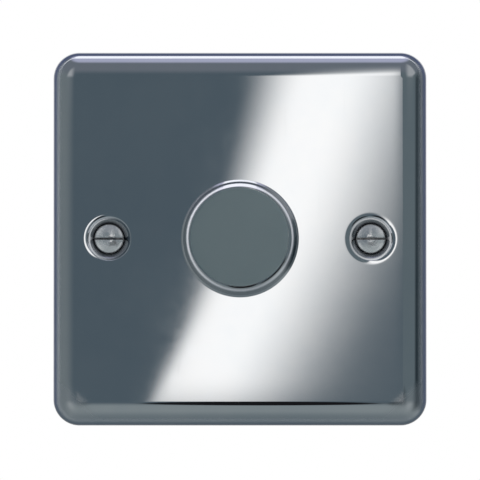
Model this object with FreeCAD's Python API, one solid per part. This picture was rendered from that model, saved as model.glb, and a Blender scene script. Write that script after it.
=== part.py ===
"""One-gang rotary dimmer switch on a square polished steel plate, with a push-on, push-off knob.

Every piece is drawn on the bench, face up: X to the right, Y up the wall, Z out of the wall, and the
wall itself at Z = 0. The finished pieces are then turned upright, so that the face looks along -Y.
"""

import FreeCAD
import Part
import math
import os

Vec = FreeCAD.Vector

# Front plate, a shallow pan pressed from sheet
plate_side = 86.0
plate_corner = 6.0
plate_depth = 5.0
face_corner = 0.4
rim_fall = 4.3
rim_edge_r = 3.2
sheet = 1.0

# Fixing screws, and the dimples pressed for their heads
fixing_pitch = 60.3
screw_d = 3.5
screw_neck_d = 2.9
screw_length = 25.0
screw_tip = 0.6
head_d = 6.8
head_angle = 90.0
head_land = 0.3
head_crown = 0.9
slot_width = 0.8
slot_depth = 1.25
dimple_d = 10.4
dimple_lip = 0.6
dimple_hole_clear = 0.35
seat_gap = 0.03

# Backing frame, the moulding inside the pan
frame_fit = 0.15
frame_gap = 0.3
frame_wall = 1.6
frame_web = 1.4
frame_rib = 1.2

# Module case and heat sink
sink_thick = 1.5
case_corner = 3.0
case_wall = 1.6
case_edge = 1.0
case_boss_d = 4.8
case_boss_sink = 0.5
case_screw_d = 2.5
case_screw_length = 9.0
case_screw_head_d = 4.6
vent_width = 1.4
vent_length = 9.0
vent_pitch = 3.2
vent_count = 7

# Bush, nut and washer that clamp the module to the plate
bush_d = 10.0
bush_fit = 0.15
bush_stand = 1.2
bush_flange = 1.0
nut_flats = 14.0
nut_thick = 2.5
nut_fit = 0.05
washer_thick = 0.7
washer_d = 15.0
washer_teeth = 12
washer_tooth = 1.1

# Spindle
shaft_d = 6.0
shaft_flat = 4.5
shaft_fit = 0.05
drive_d = 5.2
drive_flats = 4.0
drive_fit = 0.08
push_travel = 1.2
push_clear = 0.2
clip_d = 7.6
clip_thick = 0.6
clip_groove_d = 3.4
clip_play = 0.1

# Potentiometer
pot_wall = 1.6
pot_corner = 2.0
pot_floor = 1.2
rotor_d = 16.0
rotor_thick = 1.6
rotor_hub_d = 8.8
rotor_hub_length = 3.8
rotor_play = 0.3
stop_reach = 0.6
stop_clear = 0.5
stop_lug_angle = 30.0
turn_angle = 270.0
turn_slack = 2.0
wiper_thick = 0.3
wiper_space = 2.0
wiper_width = 2.4
wiper_gap = 0.05
wafer_thick = 0.8
wafer_hole_clear = 0.6
leg_width = 1.2
leg_thick = 0.4
leg_pitch = 4.0
leg_fit = 0.2

# Push switch behind the potentiometer
switch_side = 20.0
switch_wall = 1.2
tail_stand = 0.8
plunger_d = 8.4
plunger_thick = 2.0
plunger_stem_d = 3.6
plunger_stem_length = 3.0
arm_width = 3.0
arm_thick = 1.2
arm_clear = 0.3
bridge_thick = 0.4
bridge_collar = 1.0
spring_space = 5.2
spring_wire = 0.5
spring_turns = 5
spring_seat = 0.05
contact_width = 2.4
contact_thick = 0.8
contact_in = 1.6
cam_width = 3.4
cam_thick = 1.6
cam_slot = 1.3
latch_wire_d = 0.6

# Circuit board and what is soldered to it
board_thick = 1.6
board_edge_gap = 0.4
board_stand = 2.0
board_post_d = 4.0
board_overhang = 2.4
lead_d = 0.8
lead_bend = 0.5
lead_clear = 0.15
lead_trim = 1.0
part_gap = 0.5
solder_gap = 0.05
big_cap_length = 17.0
big_cap_height = 12.0
cap_edge = 0.8
small_cap_width = 2.6
small_cap_length = 7.2
small_cap_height = 6.4
small_cap_pitch = 4.6
toroid_d = 10.6
toroid_hole_d = 5.6
toroid_height = 5.0
winding_wire = 0.7
winding_turns = 18
fuse_d = 5.2
fuse_length = 20.0
fuse_cap_length = 4.6
fuse_cap_lift = 0.2
resistor_d = 2.3
resistor_length = 6.4
resistor_pitch = 3.4
diac_d = 1.9
diac_length = 4.2
triac_width = 10.2
triac_body_length = 9.0
triac_body_thick = 4.4
triac_tab_length = 6.3
triac_tab_thick = 1.3
triac_hole_d = 3.6
triac_lead_pitch = 2.54
triac_lead_width = 0.8
triac_lead_thick = 0.5
triac_lead_reach = 2.4
rivet_d = 3.4
rivet_head_d = 5.6
rivet_head_thick = 1.0

# Cable terminals
terminal_width = 8.0
terminal_length = 8.6
terminal_height = 8.0
terminal_gap = 0.1
cable_bore_d = 3.8
cable_bore_depth = 7.0
cable_entry_clear = 0.5
clamp_screw_d = 3.0
clamp_screw_fit = 0.04
clamp_screw_open = 2.0
clamp_screw_tip_gap = 0.2
clamp_head_d = 5.2
clamp_head_thick = 2.0
clamp_slot = 0.9
clamp_wall = 2.4
tail_width = 3.0
tail_thick = 0.8
tail_lap = 1.0
earth_up_wall = 18.0
earth_back_gap = 0.3

# Knob
knob_d = 27.0
knob_skirt = 0.8
knob_step = 0.45
knob_flare = 0.55
knob_flare_height = 0.95
knob_top_d = 24.4
knob_height = 10.5
knob_bevel = 1.0
knob_bevel_round = 0.35
knob_face_round = 1.2
knob_wall = 1.0
knob_clear = 0.8
hub_d = 11.0
hub_clear = 0.6
hub_roof = 0.6
insert_fit = 0.1
insert_disc = 1.6
insert_ribs = 6
insert_rib = 1.4
grip_thick = 0.5
grip_width = 3.6
grip_fit = 0.05

# Heights above the wall, from the front of the plate back to the rear of the case
plate_back = plate_depth - sheet
rim_width = plate_corner - face_corner
sink_back = plate_back - sink_thick
flange_back = sink_back - bush_flange
rotor_front = flange_back - rotor_play
rotor_disc_back = rotor_front - rotor_thick
rotor_back = rotor_front - rotor_hub_length
wafer_front = rotor_disc_back - wiper_space
wafer_back = wafer_front - wafer_thick
pot_back = wafer_back - pot_floor
shaft_back = pot_back - tail_stand
plunger_back = shaft_back - plunger_thick
switch_floor = plunger_back - spring_space
board_front = switch_floor - switch_wall
board_back = board_front - board_thick
case_floor = board_back - board_stand
case_back = case_floor - case_wall

# Heights in front of the plate, from the washer out to the top of the knob
washer_front = plate_depth + washer_thick
nut_front = washer_front + nut_thick
bush_front = nut_front + bush_stand
hub_back = bush_front + push_travel + hub_clear
knob_back = plate_depth + push_travel + knob_clear
knob_front = knob_back + knob_height
knob_roof = knob_front - knob_wall
knob_waist_r = knob_d / 2 - knob_step - knob_flare
knob_lean = (knob_waist_r - knob_top_d / 2) / knob_height
shaft_front = knob_roof - hub_roof

# Dimple and head cones share one angle, so the head seats all round
cone_slope = math.tan(math.radians(head_angle / 2))
cone_wall = sheet / math.cos(math.radians(head_angle / 2))
dimple_hole_r = screw_d / 2 + dimple_hole_clear
dimple_bottom = plate_depth - (dimple_d / 2 - dimple_hole_r) / cone_slope
bump_r = dimple_d / 2 - sheet * cone_slope + cone_wall
seat_z = plate_depth - (dimple_d - head_d) / 2 / cone_slope + seat_gap
fixing_places = (-fixing_pitch / 2, fixing_pitch / 2)

# Potentiometer and push switch, one behind the other in the middle of the board
pot_bowl_d = rotor_d + 2 * (rotor_play + stop_reach + stop_clear)
pot_side = pot_bowl_d + 2 * pot_wall
works_half = max(pot_side, switch_side) / 2

# The choke above them sets the height of the board and the case
choke_r = toroid_d / 2 + solder_gap + winding_wire
choke_y = works_half + part_gap + choke_r
choke_lead_y = choke_y + choke_r + lead_d / 2
board_top = choke_lead_y + lead_d / 2 + part_gap
board_bottom = -pot_side / 2 - board_overhang
case_in_y = board_top + board_edge_gap
case_height = 2 * (case_in_y + case_wall)

# The case fills the room between the two dimples
case_width = fixing_pitch - 2 * (bump_r + 2 * frame_gap + frame_wall)
case_in_x = case_width / 2 - case_wall
case_boss_x = case_in_x - case_boss_d / 2 + case_boss_sink
case_boss_y = case_in_y - case_boss_d / 2 + case_boss_sink
case_boss_places = ((-case_boss_x, -case_boss_y), (case_boss_x, case_boss_y))

# Strips of board left beside and above the works, and the parts that stand on them
board_right = case_in_x - board_edge_gap
side_strip = (works_half + board_right) / 2
top_strip = (works_half + board_top) / 2
big_cap_width = board_right - works_half - 2 * part_gap
triac_body_x = -triac_lead_reach / 2
triac_lead_x = triac_body_x - triac_lead_reach / 2 - triac_lead_width / 2
triac_hole_x = triac_body_x + triac_body_length + triac_tab_length / 2
choke_x = triac_lead_x - triac_lead_width / 2 - part_gap - choke_r
small_cap_x = small_cap_length / 2 + lead_d
diac_y = top_strip + (small_cap_pitch + small_cap_width + diac_d) / 2 + part_gap
resistor_y = fuse_length / 2 + part_gap + lead_d * 3 / 2 + resistor_length / 2

# Cable terminals, seated on the case floor against its lower wall and spread between its bosses
terminal_pitch = case_boss_x - case_boss_d / 2 - part_gap - terminal_width / 2
terminal_places = (-terminal_pitch, 0.0, terminal_pitch)
terminal_bottom = -case_in_y + terminal_gap
terminal_top = terminal_bottom + terminal_length
terminal_back = case_floor
terminal_front = terminal_back + terminal_height
cable_z = terminal_back + clamp_wall + cable_bore_d / 2
clamp_y = terminal_bottom + cable_bore_depth / 2

# Earth terminal, fixed to the back of the plate beside the case
earth_x = -(case_width / 2 + 2 * frame_gap + frame_wall + terminal_width / 2)
earth_bottom = earth_up_wall - terminal_length / 2
earth_top = earth_up_wall + terminal_length / 2
earth_cable_z = -earth_back_gap - cable_bore_d / 2
earth_back = earth_cable_z - cable_bore_d / 2 - clamp_wall
earth_clamp_y = earth_top - cable_bore_depth / 2


# Shapes

match = 1e-4


def cylinder(r, z0, z1, x=0.0, y=0.0):
    return Part.makeCylinder(r, z1 - z0, Vec(x, y, z0))


def cone(r0, z0, r1, z1, x=0.0, y=0.0):
    return Part.makeCone(r0, r1, z1 - z0, Vec(x, y, z0))


def block(x0, x1, y0, y1, z0, z1):
    return Part.makeBox(x1 - x0, y1 - y0, z1 - z0, Vec(x0, y0, z0))


def bar(width, y0, y1, z0, z1, x=0.0):
    return block(x - width / 2, x + width / 2, y0, y1, z0, z1)


def rod_along_y(r, y0, y1, x, z):
    return Part.makeCylinder(r, y1 - y0, Vec(x, y0, z), Vec(0, 1, 0))


def rod_along_x(r, x0, x1, y, z):
    return Part.makeCylinder(r, x1 - x0, Vec(x0, y, z), Vec(1, 0, 0))


def rounded_outline(width, height, r, z):
    """Closed wire round a rectangle with rounded corners, starting at the left end of its lower side."""
    w = width / 2
    h = height / 2
    k = r * (1 - math.sqrt(0.5))
    corners = (
        (Vec(w - r, -h, z), Vec(w - k, -h + k, z), Vec(w, -h + r, z)),
        (Vec(w, h - r, z), Vec(w - k, h - k, z), Vec(w - r, h, z)),
        (Vec(-w + r, h, z), Vec(-w + k, h - k, z), Vec(-w, h - r, z)),
        (Vec(-w, -h + r, z), Vec(-w + k, -h + k, z), Vec(-w + r, -h, z)),
    )
    edges = []
    before = corners[-1][2]
    for start, middle, end in corners:
        edges.append(Part.LineSegment(before, start).toShape())
        edges.append(Part.Arc(start, middle, end).toShape())
        before = end
    return Part.Wire(edges)


def rounded_prism(width, height, r, z0, z1, x=0.0, y=0.0):
    face = Part.Face(rounded_outline(width, height, r, z0))
    prism = face.extrude(Vec(0, 0, z1 - z0))
    prism.translate(Vec(x, y, 0))
    return prism


def turned(points, degrees=360.0):
    """Solid of revolution about Z from (radius, height) points."""
    path = [Vec(r, 0, z) for r, z in points]
    face = Part.Face(Part.makePolygon(path + path[:1]))
    return face.revolve(Vec(0, 0, 0), Vec(0, 0, 1), degrees)


def sector(r0, r1, z0, z1, middle, width):
    """Part of a ring, width degrees wide about the direction middle."""
    ring = turned(((r0, z0), (r1, z0), (r1, z1), (r0, z1)), width)
    ring.rotate(Vec(0, 0, 0), Vec(0, 0, 1), middle - width / 2)
    return ring


def round_array(shape, count):
    """Copies of a shape, evenly spaced round the axis."""
    copies = []
    for index in range(count):
        one = shape.copy()
        one.rotate(Vec(0, 0, 0), Vec(0, 0, 1), 360.0 * index / count)
        copies.append(one)
    return copies


def bent_wire(r, points, bend):
    """Round wire along straight runs, with an arc at each square corner."""
    edges = []
    before = points[0]
    for corner, after in zip(points[1:], points[2:]):
        into = (corner - before).normalize()
        onward = (after - corner).normalize()
        middle = corner + (onward - into) * bend * (1 - math.sqrt(0.5))
        end = corner + onward * bend
        edges.append(Part.LineSegment(before, corner - into * bend).toShape())
        edges.append(Part.Arc(corner - into * bend, middle, end).toShape())
        before = end
    edges.append(Part.LineSegment(before, points[-1]).toShape())
    section = Part.Face(Part.Wire(Part.makeCircle(r, points[0], points[1] - points[0])))
    return Part.Wire(edges).makePipe(section)


def circle_edges(shape, r, z):
    """Circular edges of one radius at one height."""
    found = []
    for edge in shape.Edges:
        if edge.Degenerated:
            continue
        curve = edge.Curve
        if not isinstance(curve, Part.Circle):
            continue
        if abs(curve.Radius - r) < match and abs(curve.Center.z - z) < match:
            found.append(edge)
    return found


def tidy(shape):
    """One clean solid, with the seams left by joining removed."""
    clean = shape.removeSplitter()
    return clean.Solids[0] if len(clean.Solids) == 1 else clean


def pillow(side, corner, top, rim_across, rim_down, edge_r):
    """Solid square cushion: flat top, rim rolled down in two tangent arcs, straight foot on the wall."""
    crest_r = (rim_across ** 2 + rim_down ** 2 - 2 * rim_across * edge_r) / (2 * (rim_down - edge_r))
    edge_centre = Vec(edge_r, top - rim_down)
    crest_centre = Vec(rim_across, top - crest_r)
    between = edge_centre - crest_centre
    join_angle = math.atan2(between.y, between.x)
    start = -side / 2 + corner

    def on_arc(centre, r, angle):
        return Vec(start, -side / 2 + centre.x + r * math.cos(angle), centre.y + r * math.sin(angle))

    foot = Vec(start, -side / 2, 0)
    inner = Vec(start, -side / 2 + rim_across, 0)
    edge_start = on_arc(edge_centre, edge_r, math.pi)
    edge_middle = on_arc(edge_centre, edge_r, (math.pi + join_angle) / 2)
    join = on_arc(edge_centre, edge_r, join_angle)
    crest_middle = on_arc(crest_centre, crest_r, (join_angle + math.pi / 2) / 2)
    crest = on_arc(crest_centre, crest_r, math.pi / 2)
    profile = Part.Wire([
        Part.LineSegment(foot, edge_start).toShape(),
        Part.Arc(edge_start, edge_middle, join).toShape(),
        Part.Arc(join, crest_middle, crest).toShape(),
        Part.LineSegment(crest, inner).toShape(),
        Part.LineSegment(inner, foot).toShape(),
    ])
    section = Part.Face(profile)
    length = side - 2 * corner
    run = section.extrude(Vec(length, 0, 0))
    turn = section.revolve(Vec(start, start, 0), Vec(0, 0, 1), -90)
    flat = side - 2 * rim_across
    middle = rounded_prism(flat, flat, corner - rim_across, 0, top)
    return tidy(middle.fuse(round_array(run, 4) + round_array(turn, 4)))


# Front plate and its fixings

def pan_room(fit):
    """Room inside the pressed pan, drawn in all round by a fit."""
    inset = sheet + fit
    side = plate_side - 2 * inset
    corner = plate_corner - inset
    return pillow(side, corner, plate_back, rim_width - sheet, rim_fall - sheet, rim_edge_r - sheet)


def front_plate():
    skin = pillow(plate_side, plate_corner, plate_depth, rim_width, rim_fall, rim_edge_r)
    pan = skin.cut(pan_room(0))
    above = plate_depth + sheet
    for x in fixing_places:
        bump_top = plate_back + sheet / 2
        bump_top_r = bump_r + sheet / 2 * cone_slope
        bump = cone(dimple_hole_r + cone_wall, dimple_bottom, bump_top_r, bump_top, x)
        mouth = cone(dimple_hole_r, dimple_bottom, dimple_d / 2 + sheet * cone_slope, above, x)
        hole = cylinder(dimple_hole_r, dimple_bottom - sheet, above, x)
        pan = pan.fuse(bump).cut(mouth).cut(hole)
    pan = pan.cut(cylinder(bush_d / 2 + bush_fit, 0, above))
    pan = tidy(pan)
    return pan.makeFillet(dimple_lip, circle_edges(pan, dimple_d / 2, plate_depth))


def fixing_screws():
    r = screw_d / 2
    neck_r = screw_neck_d / 2
    neck_top = seat_z - (head_d / 2 - neck_r) / cone_slope
    rim_z = seat_z + head_land
    tip_z = seat_z - screw_length
    stud_top = dimple_bottom - cone_wall
    profile = (
        (0, tip_z),
        (r - screw_tip, tip_z),
        (r, tip_z + screw_tip),
        (r, stud_top),
        (neck_r, stud_top),
        (neck_r, neck_top),
        (head_d / 2, seat_z),
        (head_d / 2, rim_z),
        (0, rim_z),
    )
    crown_r = ((head_d / 2) ** 2 + head_crown ** 2) / (2 * head_crown)
    crown = Part.makeSphere(crown_r, Vec(0, 0, rim_z + head_crown - crown_r))
    crown = crown.common(cylinder(head_d / 2, rim_z, rim_z + head_crown + 1))
    crown_top = rim_z + head_crown
    slot = bar(2 * head_d, -slot_width / 2, slot_width / 2, crown_top - slot_depth, crown_top + slot_depth)
    screw = tidy(turned(profile).fuse(crown).cut(slot))
    screws = []
    for x in fixing_places:
        one = screw.copy()
        one.translate(Vec(x, 0, 0))
        screws.append(one)
    return Part.makeCompound(screws)


def backing_frame():
    inset = sheet + frame_fit
    body = pan_room(frame_fit)
    open_w = case_width + 2 * frame_gap
    open_h = case_height + 2 * frame_gap
    open_r = case_corner + frame_gap
    lip = 2 * frame_wall
    pocket_side = plate_side - 2 * inset - 2 * (rim_width - sheet)
    web_back = plate_back - frame_web
    below = -sheet
    pocket = rounded_prism(pocket_side, pocket_side, case_corner, below, web_back)
    pocket = pocket.cut(rounded_prism(open_w + lip, open_h + lip, open_r + frame_wall, below, web_back))
    hole_r = bump_r + frame_gap
    for x in fixing_places:
        pocket = pocket.cut(cylinder(hole_r + frame_wall, below, web_back, x))
    window = earth_window(frame_gap, below, plate_depth)
    pocket = pocket.cut(earth_window(frame_gap + frame_wall, below, web_back))
    for x in (-case_width / 4, case_width / 4):
        pocket = pocket.cut(bar(frame_rib, -plate_side, plate_side, below, web_back, x))
    for y in (-case_height / 4, case_height / 4):
        pocket = pocket.cut(bar(2 * plate_side, y - frame_rib / 2, y + frame_rib / 2, below, web_back))
    body = body.cut(pocket)
    body = body.cut(rounded_prism(open_w, open_h, open_r, below, plate_depth))
    for x in fixing_places:
        body = body.cut(cylinder(hole_r, below, plate_depth, x))
    return tidy(body.cut(window))


def earth_window(gap, z0, z1):
    half = terminal_width / 2 + gap
    return block(earth_x - half, earth_x + half, earth_bottom - gap, earth_top + gap, z0, z1)


# Module: heat sink, case and their screws

def heat_sink():
    plate = rounded_prism(case_width, case_height, case_corner, sink_back, plate_back)
    plate = plate.cut(cylinder(bush_d / 2 + bush_fit, sink_back, plate_back))
    for x, y in case_boss_places:
        plate = plate.cut(case_screw_shape(seat_gap, x, y))
    return plate.cut(rivet_shape(seat_gap))


def case_screw_shape(gap, x, y):
    """Countersunk screw, flush with the front of the heat sink. The gap makes the hole that clears it."""
    head_r = case_screw_head_d / 2
    shank_r = case_screw_d / 2
    neck = plate_back - (head_r - shank_r)
    shank = cylinder(shank_r + gap, plate_back - case_screw_length, neck, x, y)
    head = cone(shank_r + gap, neck, head_r + gap, plate_back, x, y)
    return shank.fuse(head)


def case_screws():
    screws = []
    for x, y in case_boss_places:
        screw = case_screw_shape(0, x, y)
        slot_back = plate_back - sink_thick / 2
        slot = block(x - case_screw_head_d, x + case_screw_head_d, y - slot_width / 3, y + slot_width / 3,
                     slot_back, plate_depth)
        screws.append(tidy(screw.cut(slot)))
    return Part.makeCompound(screws)


def module_case():
    body = rounded_prism(case_width, case_height, case_corner, case_back, sink_back)
    back_edges = [edge for edge in body.Edges if edge.BoundBox.ZMax < case_back + 1e-6]
    body = body.makeFillet(case_edge, back_edges)
    in_corner = case_corner - case_wall
    body = body.cut(rounded_prism(2 * case_in_x, 2 * case_in_y, in_corner, case_floor, plate_depth))
    for x, y in case_boss_places:
        boss = cylinder(case_boss_d / 2, case_floor, sink_back, x, y)
        body = body.fuse(boss).cut(case_screw_shape(seat_gap, x, y))
    for x, y in board_post_places():
        body = body.fuse(cylinder(board_post_d / 2, case_floor, board_back, x, y))
    for x in (-terminal_pitch / 2, terminal_pitch / 2):
        wall = terminal_pitch - terminal_width - 2 * terminal_gap
        body = body.fuse(bar(min(wall, case_wall), -case_in_y, terminal_top, case_floor, terminal_front, x))
    body = tidy(body)
    for x in terminal_places:
        entry_r = cable_bore_d / 2 + cable_entry_clear
        body = body.cut(rod_along_y(entry_r, -case_height, -case_in_y, x, cable_z))
        body = body.cut(cylinder(clamp_head_d / 2 + cable_entry_clear, case_back, case_floor, x, clamp_y))
    first = -(vent_count - 1) / 2 * vent_pitch
    for index in range(vent_count):
        x = first + index * vent_pitch
        body = body.cut(vent(x))
    return tidy(body)


def vent(x):
    """Slot with round ends through the back of the case."""
    r = vent_width / 2
    y0 = top_strip - vent_length / 2 + r
    y1 = top_strip + vent_length / 2 - r
    slot = bar(vent_width, y0, y1, case_back, case_floor, x)
    return slot.fuse([cylinder(r, case_back, case_floor, x, y0), cylinder(r, case_back, case_floor, x, y1)])


# Bush, washer and nut

def pot_bush():
    flange = rounded_prism(pot_side, pot_side, pot_corner, flange_back, sink_back)
    barrel = cylinder(bush_d / 2, sink_back, bush_front)
    chamfer = bush_d * 0.04
    barrel = barrel.makeChamfer(chamfer, circle_edges(barrel, bush_d / 2, bush_front))
    return tidy(flange.fuse(barrel).cut(cylinder(shaft_d / 2 + shaft_fit, flange_back, bush_front)))


def lock_washer():
    inner_r = bush_d / 2 + bush_fit
    ring = turned((
        (inner_r, plate_depth),
        (washer_d / 2, plate_depth),
        (washer_d / 2, washer_front),
        (inner_r, washer_front),
    ))
    notch = cylinder(washer_tooth / 2, plate_depth, washer_front, washer_d / 2)
    return tidy(ring.cut(round_array(notch, washer_teeth)))


def bush_nut():
    corner_r = nut_flats / math.sqrt(3.0)
    corners = [Vec(corner_r * math.cos(a), corner_r * math.sin(a), washer_front)
               for a in (math.radians(60.0 * i) for i in range(6))]
    hexagon = Part.Face(Part.makePolygon(corners + corners[:1])).extrude(Vec(0, 0, nut_thick))
    ease = (corner_r - nut_flats / 2) * math.tan(math.radians(30.0))
    rounding = turned((
        (0, washer_front),
        (corner_r, washer_front),
        (corner_r, nut_front - ease),
        (nut_flats / 2, nut_front),
        (0, nut_front),
    ))
    return hexagon.common(rounding).cut(cylinder(bush_d / 2 + nut_fit, washer_front, nut_front))


# Potentiometer

def pot_body():
    body = rounded_prism(pot_side, pot_side, pot_corner, pot_back, flange_back)
    body = body.cut(cylinder(pot_bowl_d / 2, wafer_back, flange_back))
    body = body.cut(cylinder(clip_d / 2 + rotor_play, pot_back, wafer_back))
    rib_angle = 360.0 - turn_angle - stop_lug_angle - 2 * turn_slack
    rib_in = rotor_d / 2 + rotor_play
    rib = sector(rib_in, pot_bowl_d / 2 + rotor_play, rotor_disc_back, flange_back, -90.0, rib_angle)
    body = body.fuse(rib)
    for x in leg_places():
        body = body.cut(bar(leg_width + leg_fit, -pot_side, 0, wafer_back, wafer_front, x))
    return tidy(body)


def leg_places():
    return (-leg_pitch, 0.0, leg_pitch)


def track_wafer():
    hole_r = rotor_hub_d / 2 + wafer_hole_clear
    disc = cylinder(pot_bowl_d / 2 - leg_fit / 2, wafer_back, wafer_front)
    return disc.cut(cylinder(hole_r, wafer_back, wafer_front))


def pot_legs():
    """Solder legs, from the edge of the wafer out through the side of the body and back to the board."""
    legs = []
    outside = -pot_side / 2 - leg_fit
    for x in leg_places():
        inner_side = max(abs(x) - leg_width / 2, 0)
        reach = math.sqrt((pot_bowl_d / 2) ** 2 - inner_side ** 2)
        tab_top = wafer_back + leg_thick
        tab = bar(leg_width, outside - leg_thick, -reach, wafer_back, tab_top, x)
        drop = bar(leg_width, outside - leg_thick, outside, board_back - lead_trim, tab_top, x)
        legs.append(tidy(tab.fuse(drop)))
    return Part.makeCompound(legs)


def drive_shape(z0, z1, gap=0.0):
    """Round bar with two flats, which turns the rotor and slides through it."""
    flats = drive_flats / 2 + gap
    return cylinder(drive_d / 2 + gap, z0, z1).common(block(-drive_d, drive_d, -flats, flats, z0, z1))


def stop_start():
    """Direction of the stop lug with the knob fully anticlockwise, just clear of the stop rib."""
    rib_angle = 360.0 - turn_angle - stop_lug_angle - 2 * turn_slack
    return -90.0 - rib_angle / 2 - turn_slack - stop_lug_angle / 2


def pot_rotor():
    disc = cylinder(rotor_d / 2, rotor_disc_back, rotor_front)
    hub = cylinder(rotor_hub_d / 2, rotor_back, rotor_disc_back)
    lug_r = rotor_d / 2 + rotor_play + stop_reach
    lug = sector(rotor_d / 4, lug_r, rotor_disc_back, rotor_front, stop_start(), stop_lug_angle)
    return tidy(disc.fuse([hub, lug]).cut(drive_shape(rotor_back, rotor_front, drive_fit)))


def wiper():
    """Spring ring round the rotor hub, with a finger bent down to the resistance track."""
    hub_r = rotor_hub_d / 2 + drive_fit
    ring = cylinder(hub_r + wiper_width, rotor_disc_back - wiper_thick, rotor_disc_back)
    ring = ring.cut(cylinder(hub_r, rotor_disc_back - wiper_thick, rotor_disc_back))
    out = hub_r + wiper_width
    tip = wafer_front + wiper_gap
    finger = bar(wiper_width, out - wiper_thick, out, tip, rotor_disc_back)
    toe = bar(wiper_width, out - wiper_width / 2, out, tip, tip + wiper_thick)
    bend = finger.fuse(toe)
    bend.rotate(Vec(0, 0, 0), Vec(0, 0, 1), stop_start() - 90.0)
    return tidy(ring.fuse(bend))


# Spindle, and the knob on it

def shaft():
    shoulder = rotor_front + push_travel + push_clear
    front = cylinder(shaft_d / 2, shoulder, shaft_front)
    flat_y = shaft_flat - shaft_d / 2
    front = front.cut(block(-shaft_d, shaft_d, flat_y, shaft_d, hub_back - hub_clear, shaft_front))
    groove_front = rotor_back - clip_play + clip_play / 2
    groove_back = groove_front - clip_thick - clip_play
    core = cylinder(clip_groove_d / 2, groove_back, groove_front)
    groove = cylinder(drive_d, groove_back, groove_front).cut(core)
    return tidy(front.fuse(drive_shape(shaft_back, shoulder).cut(groove)))


def shaft_clip():
    """Open spring ring that keeps the spindle from being drawn out of the rotor."""
    front = rotor_back - clip_play
    back = front - clip_thick
    ring = cylinder(clip_d / 2, back, front).cut(cylinder(clip_groove_d / 2 + clip_play / 2, back, front))
    return ring.cut(bar(clip_groove_d * 0.8, 0, clip_d, back, front))


def knob_wall_r(z):
    """Outer radius of the knob's tapered wall at one height."""
    return knob_waist_r - knob_lean * (z - knob_back)


def knob_cap():
    """Turned cap: short skirt flaring into a tapered wall, then a bevel and a flat face, hollow from below."""
    skirt_top = knob_back + knob_skirt
    step_top = skirt_top + knob_step
    flare_top = step_top + knob_flare_height
    bevel_back = knob_front - knob_bevel
    bevel_r = knob_wall_r(bevel_back)
    face_r = bevel_r - knob_bevel
    body = turned((
        (0, knob_back),
        (knob_d / 2, knob_back),
        (knob_d / 2, skirt_top),
        (knob_d / 2 - knob_step, step_top),
        (knob_wall_r(flare_top), flare_top),
        (bevel_r, bevel_back),
        (face_r, knob_front),
        (0, knob_front),
    ))
    body = body.makeFillet(knob_bevel_round, circle_edges(body, bevel_r, bevel_back))
    body = body.makeFillet(knob_face_round, circle_edges(body, face_r, knob_front))
    return body.cut(knob_room(knob_back - knob_clear, 0))


def knob_room(z0, fit):
    """Tapered room inside the cap, bevelled under its roof and drawn in by a fit."""
    inset = knob_wall + fit
    bevel = knob_bevel - inset * (2 - math.sqrt(2))
    shoulder = knob_roof - bevel
    return turned((
        (0, z0),
        (knob_wall_r(z0) - inset, z0),
        (knob_wall_r(shoulder) - inset, shoulder),
        (knob_wall_r(shoulder) - inset - bevel, knob_roof),
        (0, knob_roof),
    ))


def knob_insert():
    room = knob_room(hub_back, insert_fit)
    hub = cylinder(hub_d / 2, hub_back, knob_roof)
    disc = cylinder(knob_d, knob_roof - insert_disc, knob_roof)
    rib = block(0, knob_d, -insert_rib / 2, insert_rib / 2, hub_back, knob_roof)
    body = hub.fuse([disc] + round_array(rib, insert_ribs)).common(room)
    flat_y = shaft_flat - shaft_d / 2 + shaft_fit
    bore = cylinder(shaft_d / 2 + shaft_fit, hub_back, shaft_front + shaft_fit)
    bore = bore.cut(block(-shaft_d, shaft_d, flat_y, shaft_d, hub_back, knob_front))
    pocket = grip_shape(grip_fit)
    return tidy(body.cut(bore).cut(pocket))


def grip_shape(gap):
    """Leaf spring in a pocket beside the flat of the spindle."""
    flat_y = shaft_flat - shaft_d / 2
    near = flat_y + shaft_fit
    top = shaft_front - hub_roof + gap
    return bar(grip_width + 2 * gap, near - gap / 2, near + grip_thick + gap, hub_back, top)


def knob_grip_spring():
    return grip_shape(0)


# Push switch

def switch_case():
    half = switch_side / 2
    body = rounded_prism(switch_side, switch_side, pot_corner, board_front, pot_back)
    inside = switch_side - 2 * switch_wall
    body = body.cut(block(-inside / 2, inside / 2, -inside / 2, inside / 2, switch_floor, pot_back))
    guide = arm_width / 2 + arm_clear
    guide_out = half - switch_wall / 2
    guide_in = inside / 2 - arm_clear - switch_wall / 2
    for side in (-1, 1):
        x0, x1 = sorted((side * guide_out, side * guide_in))
        for y in (-guide - switch_wall, guide):
            body = body.fuse(block(x0, x1, y, y + switch_wall, switch_floor, pot_back))
    for x in contact_places():
        body = body.cut(contact_foot(x, lead_clear))
    return tidy(body.cut(cylinder(latch_wire_d / 2 + clip_play, board_front, switch_floor, 0, latch_y())))


def arm_half():
    return switch_side / 2 - switch_wall - arm_clear


def switch_plunger():
    head = cylinder(plunger_d / 2, plunger_back, shaft_back)
    reach = arm_half()
    arm = block(-reach, reach, -arm_width / 2, arm_width / 2, shaft_back - arm_thick, shaft_back)
    stem = cylinder(plunger_stem_d / 2, plunger_back - plunger_stem_length, plunger_back)
    cam_y = plunger_d / 2 - cam_thick / 2
    cam_back = plunger_back - plunger_stem_length
    cam = bar(cam_width, cam_y, cam_y + cam_thick, cam_back, shaft_back)
    slot_y = cam_y + cam_thick / 2
    slot = bar(cam_slot, slot_y, cam_y + cam_thick, cam_back + cam_slot / 2, plunger_back + cam_slot)
    return tidy(head.fuse([arm, stem, cam]).cut(slot))


def latch_y():
    return plunger_d / 2 + cam_thick / 2 + latch_wire_d / 2 + clip_play


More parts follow.
